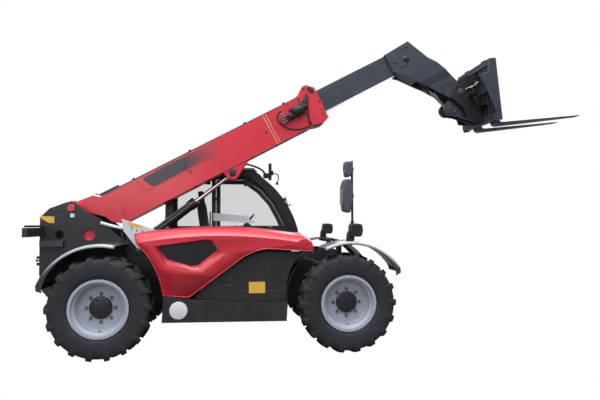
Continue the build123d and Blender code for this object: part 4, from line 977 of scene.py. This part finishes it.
open_edge = low_edge + rear_edge[1:]
lip_line = [spot(x, -1.0555, z) for x, z in open_edge]
tubes("cowl_lip", [lip_line], 0.0075, red_gloss, "hood", smooth=False)
flange = bmesh.new()
for (x0, z0), (x1, z1) in zip(open_edge, open_edge[1:]):
    edge = [(x0, -1.056, z0), (x1, -1.056, z1), (x1, -0.992, z1), (x0, -0.992, z0)]
    flange.faces.new([flange.verts.new(spot(*at)) for at in edge])
bmesh.ops.remove_doubles(flange, verts=flange.verts, dist=1e-5)
flange_piece = add("cowl_flange", flange, red_gloss, "hood")
thicker = flange_piece.modifiers.new("wall", "SOLIDIFY")
thicker.thickness = 0.005
thicker.offset = 0
mesh_black = finish("mesh_black", (0.011, 0.012, 0.013), 0.38, metal=0.35, drift=0.2)
tree = mesh_black.node_tree
weave = node_in(tree, "TexVoronoi", {"Vector": node_in(tree, "TexCoord").outputs["Object"],
                                     "Scale": 115, "Randomness": 0.0})
wires = node_in(tree, "Bump", {"Strength": 0.9, "Distance": 0.004,
                               "Height": weave.outputs["Distance"]})
tree.links.new(wires.outputs["Normal"], tree.nodes["Principled BSDF"].inputs["Normal"])
grille = bmesh.new()
sheet(grille, [[(0.985 + (x - 0.985) * 1.01, 1.20 + (z - 1.20) * 1.02) for x, z in window]], 0.004,
      -1.029)
grille_piece = add("cowl_grille", grille, mesh_black, "hood")
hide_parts("cowl_window")
ears = bmesh.new()
for x in (0.640, 1.940):
    turned(ears, [(0.0085, 0), (0.015, 0), (0.015, 0.040), (0.0085, 0.040), (0.0085, 0)],
           stood(spot(x + 0.014, hinge_y, 1.490), (1, 0, 0)), 24)
    brick(ears, (x + 0.014, -0.520, 1.474), (x + 0.054, -0.444, 1.484))
add("cowl_hinge_ears", ears, black_paint, "hood")

# ---- pale cover and pale tube behind the pod ---------------------------------------------------
# A bent pale sheet between boom and pod with a blank yellow label and slots, above a hose, and
# a pale tube that runs back from it along the chassis plate. The slots are flat black patches
# of painted shade.
pale_sheet = finish("pale_sheet", (0.60, 0.61, 0.63), 0.40, coat=0.2, drift=0.06, grime=0.1,
                    bare=(0.4, 0.4, 0.4), rounding=0.004)
dress(pale_sheet, "side_cover")
cover_marks, cover_slot_shade = bmesh.new(), bmesh.new()
slab(cover_marks, [(0.165, 1.574), (0.385, 1.505), (0.330, 1.490), (0.215, 1.512)],
     -0.3962, -0.3970, upright)
add("cover_blank_label", cover_marks, yellow_blank)
# painted shade: each slot is a flat black patch on the sheet's face, standing in for the dark hole
for x, z in ((0.229, 1.485), (0.292, 1.458), (0.362, 1.446), (0.424, 1.436)):
    ribbon(cover_slot_shade, [(x - 0.004, z + 0.014), (x + 0.004, z - 0.014)], 0.014, -0.3962, -0.3972,
           upright)
add("cover_slots_painted_shade", cover_slot_shade, hose_rubber, "machine")
pale_run = [spot(-0.155, -0.362, 1.556), spot(-0.118, -0.362, 1.546), spot(0.0, -0.366, 1.508),
            spot(0.105, -0.366, 1.488), spot(0.14, -0.366, 1.483)]
tubes("pale_tube", [pale_run], 0.021, pale_sheet, "machine")
pod_runs = [[spot(*at) for at in run] for run in (
    ((0.15, -0.366, 1.44), (0.165, -0.372, 1.38), (0.20, -0.372, 1.31), (0.24, -0.372, 1.24),
     (0.30, -0.374, 1.16)),
    ((0.10, -0.352, 1.45), (0.11, -0.360, 1.36), (0.13, -0.362, 1.28), (0.17, -0.364, 1.18)))]
tubes("pod_hoses", pod_runs, 0.016, hose_rubber, "machine")

# ---- cab -----------------------------------------------------------------------------------------
# A black steel shell whose front pillars curve down to the sill, glazed on every side, with a
# door on the left. Rubber seals hold the panes; rails, a work lamp and a wiper are outside.
cab_black = finish("cab_black", (0.011, 0.011, 0.013), 0.36, coat=0.35, drift=0.12, grime=0.05,
                   bare=(0.10, 0.10, 0.10), grain=0.04, rounding=0.004)
dress(cab_black, "cab_frame", "cab_roof", "cab_door")
cab_plastic = finish("cab_plastic", (0.030, 0.030, 0.034), 0.55, drift=0.15, grain=0.2,
                     grain_size=600, rounding=0.004)
dress(cab_plastic, "cab_controls")
seal_rubber = finish("seal_rubber", (0.012, 0.012, 0.013), 0.6, drift=0.1)
window_glass = finish("window_glass", (0.10, 0.13, 0.13), 0.04, drift=0.05)
window_glass.node_tree.nodes["Principled BSDF"].inputs["Alpha"].default_value = 0.11
dress(window_glass, "cab_glass", "door_glass")
seals, door_seal = bmesh.new(), bmesh.new()
side_pane = [(0.690, 1.500), (0.690, 2.215), (1.700, 2.215), (1.925, 2.060), (2.110, 1.850),
             (2.225, 1.640), (2.290, 1.500)]
far_pane = [(0.650, 1.400), (0.650, 2.215), (1.180, 2.215), (1.180, 1.400)]
door_pane = [(1.300, 1.380), (1.300, 2.165), (1.685, 2.165), (1.885, 2.025), (2.065, 1.825),
             (2.175, 1.620), (2.240, 1.480), (2.240, 1.380)]
for form, line, near, far in ((seals, side_pane, 0.2595, 0.2540), (seals, far_pane, 1.1005, 1.1040),
                              (door_seal, door_pane, 1.1005, 1.1040)):
    middle_x = sum(x for x, z in line) / len(line)
    middle_z = sum(z for x, z in line) / len(line)
    wider, narrower = ([(middle_x + (x - middle_x) * wide, middle_z + (z - middle_z) * high)
                        for x, z in line] for wide, high in ((1.022, 1.028), (0.982, 0.977)))
    for k in range(len(line)):
        v = [form.verts.new(spot(x, y, z)) for y in (far, near)
             for x, z in (wider[k - 1], wider[k], narrower[k], narrower[k - 1])]
        for q in ((0, 1, 2, 3), (7, 6, 5, 4), (0, 4, 5, 1), (3, 2, 6, 7)):
            form.faces.new([v[n] for n in q])
    bmesh.ops.remove_doubles(form, verts=form.verts, dist=1e-5)
add("window_seals", seals, seal_rubber)
add("door_seal", door_seal, seal_rubber, "door")
blank_sheet = bmesh.new()
slab(blank_sheet, [(1.222, 1.690), (1.720, 1.645), (1.733, 1.590), (1.807, 1.578), (1.807, 1.542),
                   (1.222, 1.585)], 0.2780, 0.2772, upright)
add("window_blank_sheet", blank_sheet, white_blank)

roof_parts, lamps_on_roof = bmesh.new(), bmesh.new()
for step in range(5):
    y = 0.36 + 0.16 * step
    brick(roof_parts, (0.70, y - 0.030, 2.3345), (1.66, y + 0.030, 2.343))
brick(roof_parts, (1.775, 0.285, 2.262), (1.835, 1.075, 2.300))
round_edges(add("roof_ribs", roof_parts, cab_black), 0.006, 3)
rails = [[spot(x, y, z) for x, z in ((1.560, 2.325), (1.585, 2.385), (1.66, 2.40), (1.84, 2.355),
                                     (1.955, 2.285), (1.965, 2.215))] for y in (0.300, 1.060)]
tubes("roof_rails", rails, 0.014, cab_black)
hoops = [[spot(*at) for at in run] for run in (
    ((2.060, 0.300, 2.262), (2.135, 0.300, 2.252), (2.150, 0.300, 2.235), (2.150, 0.300, 2.150),
     (2.118, 0.300, 2.120)),
    ((2.262, 0.300, 1.792), (2.304, 0.290, 1.802), (2.329, 0.285, 1.810)))]
tubes("cab_hoops", hoops, 0.008, cab_black)
for low, high in (((2.010, 0.280, 2.165), (2.048, 0.400, 2.405)),
                  ((2.035, 0.295, 2.235), (2.075, 0.385, 2.300)),
                  ((1.930, 0.285, 2.190), (2.020, 0.345, 2.262)),
                  ((2.108, 0.290, 2.098), (2.150, 0.330, 2.128)),
                  ((2.215, 0.290, 1.865), (2.263, 0.330, 1.905))):
    brick(lamps_on_roof, low, high)
round_edges(add("work_lamp_bodies", lamps_on_roof, cab_black, "machine"), 0.008, 3)
sun_box = bmesh.new()
brick(sun_box, (1.655, 0.310, 2.085), (1.790, 0.480, 2.215))
brick(sun_box, (1.100, 0.310, 2.100), (1.180, 0.400, 2.215))
round_edges(add("cab_fan_boxes", sun_box, cab_plastic, "machine"), 0.012, 3)
wiper = [spot(2.395, 0.68, 1.470), spot(2.385, 0.66, 1.56), spot(2.335, 0.60, 1.76),
         spot(2.262, 0.52, 1.94)]
tubes("wiper_arm", [wiper], 0.007, seal_rubber)
grab = [spot(1.150, y, z) for y, z in ((1.103, 1.05), (1.140, 1.07), (1.140, 1.70), (1.103, 1.72))]
tubes("grab_rail", [grab], 0.011, cab_black)
handle = bmesh.new()
brick(handle, (2.085, 1.1005, 1.300), (2.215, 1.113, 1.352))
brick(handle, (2.100, 1.112, 1.314), (2.195, 1.128, 1.336))
round_edges(add("door_handle", handle, cab_plastic, "door"), 0.005, 3)

# ---- seat and controls ---------------------------------------------------------------------------
# A sprung driver's seat in dark cloth: moulded foam cushions and two arm rests on a ribbed
# bellows. Levers with knobs stand on the console, and two pedals on the floor.
seat_cloth = finish("seat_cloth", (0.034, 0.034, 0.040), 0.85, drift=0.2, grain=0.5, grain_size=900)
fullness = 0.30


def cushion(name, low, high, dish=0.0, tilt=0.0):
    """A foam cushion: a box with full edges, hollowed where the driver sits, tilted back."""
    form = bmesh.new()
    middle = Vector([(a + b) / 2 for a, b in zip(low, high)])
    half = Vector([(b - a) / 2 for a, b in zip(low, high)])

    def eased(value):
        return (1 if value > 0 else -1) * abs(value) ** fullness

    rings, around = 22, 44
    grid = []
    for row in range(rings + 1):
        rise_by = -pi / 2 + pi * row / rings
        line = []
        for k in range(around):
            turn = tau * k / around
            at = Vector((half.x * eased(cos(rise_by)) * eased(cos(turn)),
                         half.y * eased(cos(rise_by)) * eased(sin(turn)),
                         half.z * eased(sin(rise_by))))
            if at.z > 0:
                at.z -= dish * max(0.0, 1 - (at.y / half.y) ** 2) * max(0.0, 1 - (at.x / half.x) ** 2)
            at = Matrix.Rotation(tilt, 3, "Y") @ at
            line.append(form.verts.new(spot(*(middle + at))))
        grid.append(line)
    join_rows(form, grid, closed=True)
    bmesh.ops.remove_doubles(form, verts=form.verts, dist=1e-4)
    piece = add(name, form, seat_cloth, "machine", 60)
    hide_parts("seat")


cushion("seat_base_cushion", (1.050, 0.490, 1.155), (1.520, 0.960, 1.300), dish=0.035)
cushion("seat_back_cushion", (1.010, 0.500, 1.250), (1.140, 0.950, 1.860), tilt=-0.14)
cushion("seat_head_cushion", (0.995, 0.600, 1.850), (1.075, 0.850, 2.020), tilt=-0.12)
seat_frame = bmesh.new()
for step in range(5):
    z = 0.885 + 0.052 * step
    wide = 0.140 if step % 2 else 0.152
    brick(seat_frame, (1.260 - wide, 0.725 - wide, z), (1.260 + wide, 0.725 + wide, z + 0.052))
brick(seat_frame, (1.10, 0.50, 1.140), (1.46, 0.95, 1.160))
brick(seat_frame, (1.10, 0.470, 1.36), (1.42, 0.500, 1.395))
brick(seat_frame, (1.10, 0.950, 1.36), (1.42, 0.980, 1.395))
seat_bellows = add("seat_bellows", seat_frame, cab_plastic, "machine")
round_edges(seat_bellows, 0.008)
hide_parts("seat")
levers = [[spot(1.62, y, 1.32), spot(1.63, y, 1.40), spot(1.60, y, 1.47)] for y in (0.50, 0.55)]
levers.append([spot(1.905, 0.80, 1.42), spot(1.90, 0.88, 1.47), spot(1.895, 0.93, 1.49)])
tubes("hand_levers", levers, 0.006, bolt_steel, "machine")
knobs = bmesh.new()
for x, y, z in ((1.60, 0.50, 1.47), (1.60, 0.55, 1.47), (1.895, 0.935, 1.49)):
    turned(knobs, [(0, -0.018), (0.012, -0.014), (0.018, 0), (0.016, 0.014), (0, 0.02)],
           stood(spot(x, y, z), (-0.3, 0, 1)), 20)
for y in (0.62, 0.80):
    slab(knobs, [(1.86, 0.90), (1.94, 1.00), (1.95, 0.99), (1.87, 0.89)], y, y + 0.07, upright)
add("lever_knobs", knobs, cab_plastic, "machine")

# ---- tank and step -------------------------------------------------------------------------------
# A black tank under the cab has the step let into its side, for the driver to climb in by.
# The step has a punched tread, and the tank a filler cap ahead of the rear wheel.
dress(black_paint, "fuel_tank")
tank_parts = bmesh.new()
for step in range(16):
    x = 1.215 + 0.042 * step
    brick(tank_parts, (x, 0.915, 0.5605), (x + 0.020, 1.025, 0.566))
turned(tank_parts, [(0.045, 0), (0.045, 0.020), (0.040, 0.026), (0.014, 0.026), (0.014, 0.034),
                    (0, 0.034)], stood(spot(0.98, 1.070, 0.66), (0, 1, 0)), 36)
round_edges(add("tank_tread", tank_parts, bolt_steel), 0.002)

# ---- mudguards -----------------------------------------------------------------------------------
# Glossy black mouldings with a turned-down lip that deepens towards each free end, bolted to
# arms from the chassis. The outer lip's colour is a painted sky reflection: pale on top, fading
# to near black lower down.
guard_gloss = finish("guard_gloss", (0.030, 0.031, 0.034), 0.30, coat=0.6, drift=0.1, grime=0.15,
                     bare=(0.12, 0.12, 0.12), rounding=0.003)


def guard_row(form, middle, turn, section, hand):
    """A row of corners across a mudguard, its section standing out from the wheel at a turn."""
    return [form.verts.new(spot(middle[0] + r * cos(turn), hand * y, middle[1] + r * sin(turn)))
            for r, y in section]


guard_bolts, lips = bmesh.new(), bmesh.new()
lip_section = ((0.7255, 1.050), (0.7255, 1.076), (0.7225, 1.0995), (0.7150, 1.1160),
               (0.7030, 1.1236), (0.6890, 1.1236))
stations = 40
for name, middle, start_at, free_at, inner_y in (
        ("rear_mudguards", (0.0, axle_z), 76, 162, 0.3405),
        ("front_mudguards", (2.890, axle_z + 0.008), 117, 30, 0.620)):
    guards = bmesh.new()
    for hand in (1, -1):
        grid, rim = [], []
        for step in range(stations + 1):
            share = step / stations
            turn = radians(start_at + (free_at - start_at) * share)
            lip_turn = radians(start_at + (free_at - start_at) * (0.01 + 0.95 * share))
            drop = 0.036 + 0.042 * max(0.0, (share - 0.55) / 0.45) ** 1.5
            tuck = 0.020 * max(0.0, (share - 0.93) / 0.07) ** 2
            section = [(0.712, inner_y), (0.722, inner_y), (0.724, 0.80), (0.724, 1.075),
                       (0.721, 1.098), (0.714, 1.114), (0.702, 1.122), (0.722 - drop, 1.122),
                       (0.720 - drop, 1.116), (0.701, 1.115), (0.708, 1.106), (0.712, 1.090)]
            section = [(r - tuck, y) for r, y in section]
            grid.append(guard_row(guards, middle, turn, section, hand))
            rim.append(guard_row(lips, middle, lip_turn, lip_section, hand))
        join_rows(guards, grid, closed=True)
        guards.faces.new(grid[0])
        guards.faces.new(grid[-1][::-1])
        join_rows(lips, rim)
        if name == "front_mudguards":
            for dx, y in ((-0.02, 0.70), (0.02, 0.70), (-0.02, 0.95), (0.02, 0.95)):
                bolt(guard_bolts, spot(middle[0] + dx, hand * y, middle[1] + 0.7235), (0, 0, 1))
    moulding = add(name + "_moulding", guards, guard_gloss, "machine", 50)
    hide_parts(name)
# painted reflection: the lip is coloured pale above 1.20 m as the sky's sheen, fading to near black by
# 0.93 m
lip_painted_sheen = finish("lip_painted_sheen", (0.40, 0.41, 0.43), 0.28, coat=0.5, drift=0.06)
fade(lip_painted_sheen, (0, 0, 1), 1.20, 0.93, (0.035, 0.034, 0.034), "SMOOTHSTEP")
lip_piece = add("mudguard_lips", lips, lip_painted_sheen, "machine", 60)
lip_wall = lip_piece.modifiers.new("wall", "SOLIDIFY")
lip_wall.thickness = 0.002
add("mudguard_bolts", guard_bolts, bolt_steel)

# ---- lamps and mirrors ---------------------------------------------------------------------------
# Head lamps in plastic housings stand on the front mudguards, tail lamps hang below a bar on the
# frame's plates. The right head lamp's arm carries the post of two mirrors.
lamp_plastic = finish("lamp_plastic", (0.018, 0.018, 0.021), 0.42, coat=0.2, drift=0.12, grain=0.1,
                      rounding=0.004)
lens_clear = finish("lens_clear", (0.62, 0.64, 0.66), 0.08, metal=0.5, coat=0.8, drift=0.05, grain=0.3,
                    grain_size=260)
lens_amber = finish("lens_amber", (0.72, 0.22, 0.02), 0.15, coat=0.8, drift=0.05, grain=0.2,
                    grain_size=400)
lens_red = finish("lens_red", (0.50, 0.012, 0.012), 0.15, coat=0.8, drift=0.05, grain=0.2,
                  grain_size=400)
housings, clear, amber, red_lens, bezels = (bmesh.new() for _ in range(5))
guard_top = axle_z + 0.008 + 0.724
lamp_y, lamp_z, tail_z = 0.940, 1.460, 1.447
for hand in (1, -1):
    low_y, high_y = sorted((hand * 0.875, hand * 1.005))
    slab(housings, [(2.900, 1.376), (2.900, 1.500), (2.918, 1.538), (2.990, 1.538), (3.050, 1.524),
                    (3.050, 1.395), (3.030, 1.376)], low_y, high_y, upright)
    slab(housings, [(2.866, guard_top), (2.868, 1.400), (2.900, 1.470), (2.904, 1.376), (2.960, 1.376),
                    (2.960, guard_top)], hand * 0.905, hand * 0.975, upright)
    turned(bezels, [(0.062, 0), (0.062, 0.006), (0.055, 0.008), (0.052, 0.003), (0, 0.003)],
           stood(spot(3.0500, hand * lamp_y, lamp_z), (1, 0, 0)), 40)
    turned(clear, [(0.052, 0), (0.050, 0.003), (0.030, 0.006), (0, 0.007)],
           stood(spot(3.0533, hand * lamp_y, lamp_z), (1, 0, 0)), 40)
    for z, size in ((1.498, 0.027), (1.424, 0.030)):
        turned(bezels, [(size, 0), (size, 0.006), (size * 0.72, 0.008), (size * 0.68, 0.003),
                        (0, 0.003)], stood(spot(2.985, hand * 1.005, z), (0, hand, 0)), 30)
    # three round lenses on the rear face of each tail lamp's box
    for y, kind in ((0.43, clear), (0.60, amber), (0.79, red_lens)):
        turned(bezels, [(0.052, 0), (0.052, 0.006), (0.046, 0.007), (0.044, 0.002), (0, 0.002)],
               stood(spot(-0.8900, hand * y, tail_z), (-1, 0, 0)), 36)
        turned(kind, [(0.044, 0), (0.042, 0.004), (0.020, 0.008), (0, 0.0085)],
               stood(spot(-0.8922, hand * y, tail_z), (-1, 0, 0)), 36)
housing = add("head_lamp_bodies", housings, lamp_plastic, "machine")
round_edges(housing, 0.012, 3)
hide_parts("head_lamps")
dress(lamp_plastic, "tail_lamps")
round_edges(nodes["tail_lamps"], 0.014, 3)
add("lamp_bezels", bezels, lamp_plastic, "machine")
add("clear_lenses", clear, lens_clear, "machine")
add("amber_lenses", amber, lens_amber, "machine")
add("red_lenses", red_lens, lens_red, "machine")
lamp_arm = bmesh.new()
for hand in (1, -1):
    low_y, high_y = sorted((hand * 0.341, hand * 0.900))
    brick(lamp_arm, (-0.868, low_y, 1.506), (-0.846, high_y, 1.530))
    slab(lamp_arm, [(-0.846, 1.300), (-0.846, 1.530), (-0.800, 1.530), (-0.760, 1.300)],
         hand * 0.3437, hand * 0.352, upright)
round_edges(add("tail_lamp_bar", lamp_arm, black_paint), 0.003)

mirror_shell = finish("mirror_shell", (0.070, 0.074, 0.100), 0.45, coat=0.2, drift=0.1, grain=0.15,
                      rounding=0.006)
shells, panes = bmesh.new(), bmesh.new()
slab(shells, [(2.831, 2.074), (2.898, 2.074), (2.925, 1.990), (2.928, 1.913), (2.918, 1.784),
              (2.893, 1.664), (2.817, 1.687), (2.799, 1.858), (2.802, 1.987)], -0.865, -1.055, upright)
slab(shells, [(2.842, 2.291), (2.930, 2.288), (2.928, 2.162), (2.905, 2.106), (2.850, 2.106),
              (2.836, 2.198)], -0.875, -1.045, upright)
mirror_body = add("mirror_shells", shells, mirror_shell, "machine", 45)
round_edges(mirror_body, 0.016, 3)
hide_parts("mirror")
slab(panes, [(2.7975, 1.76), (2.7985, 1.96), (2.8010, 1.96), (2.8000, 1.76)], -0.885, -1.035, upright)
slab(panes, [(2.8375, 2.16), (2.8395, 2.26), (2.8420, 2.26), (2.8400, 2.16)], -0.895, -1.025, upright)
mirror_silver = finish("mirror_silver", (0.80, 0.82, 0.84), 0.03, metal=1.0, drift=0.02)
add("mirror_panes", panes, mirror_silver, "machine")
post_radius = 0.0145
post = [spot(2.935, -0.960, z) for z in (1.530, 1.80, 2.303)]
post_piece = tubes("mirror_post", [post], post_radius, lamp_plastic, "machine",
                   smooth=False)
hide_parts("mirror")
clamps = bmesh.new()
for z in (1.545, 1.87, 2.20):
    turned(clamps, [(post_radius, -0.020), (0.021, -0.020), (0.021, 0.020), (post_radius, 0.020),
                    (post_radius, -0.020)], stood(spot(2.935, -0.960, z), (0, 0, 1)), 24)
add("mirror_clamps", clamps, lamp_plastic, "machine")
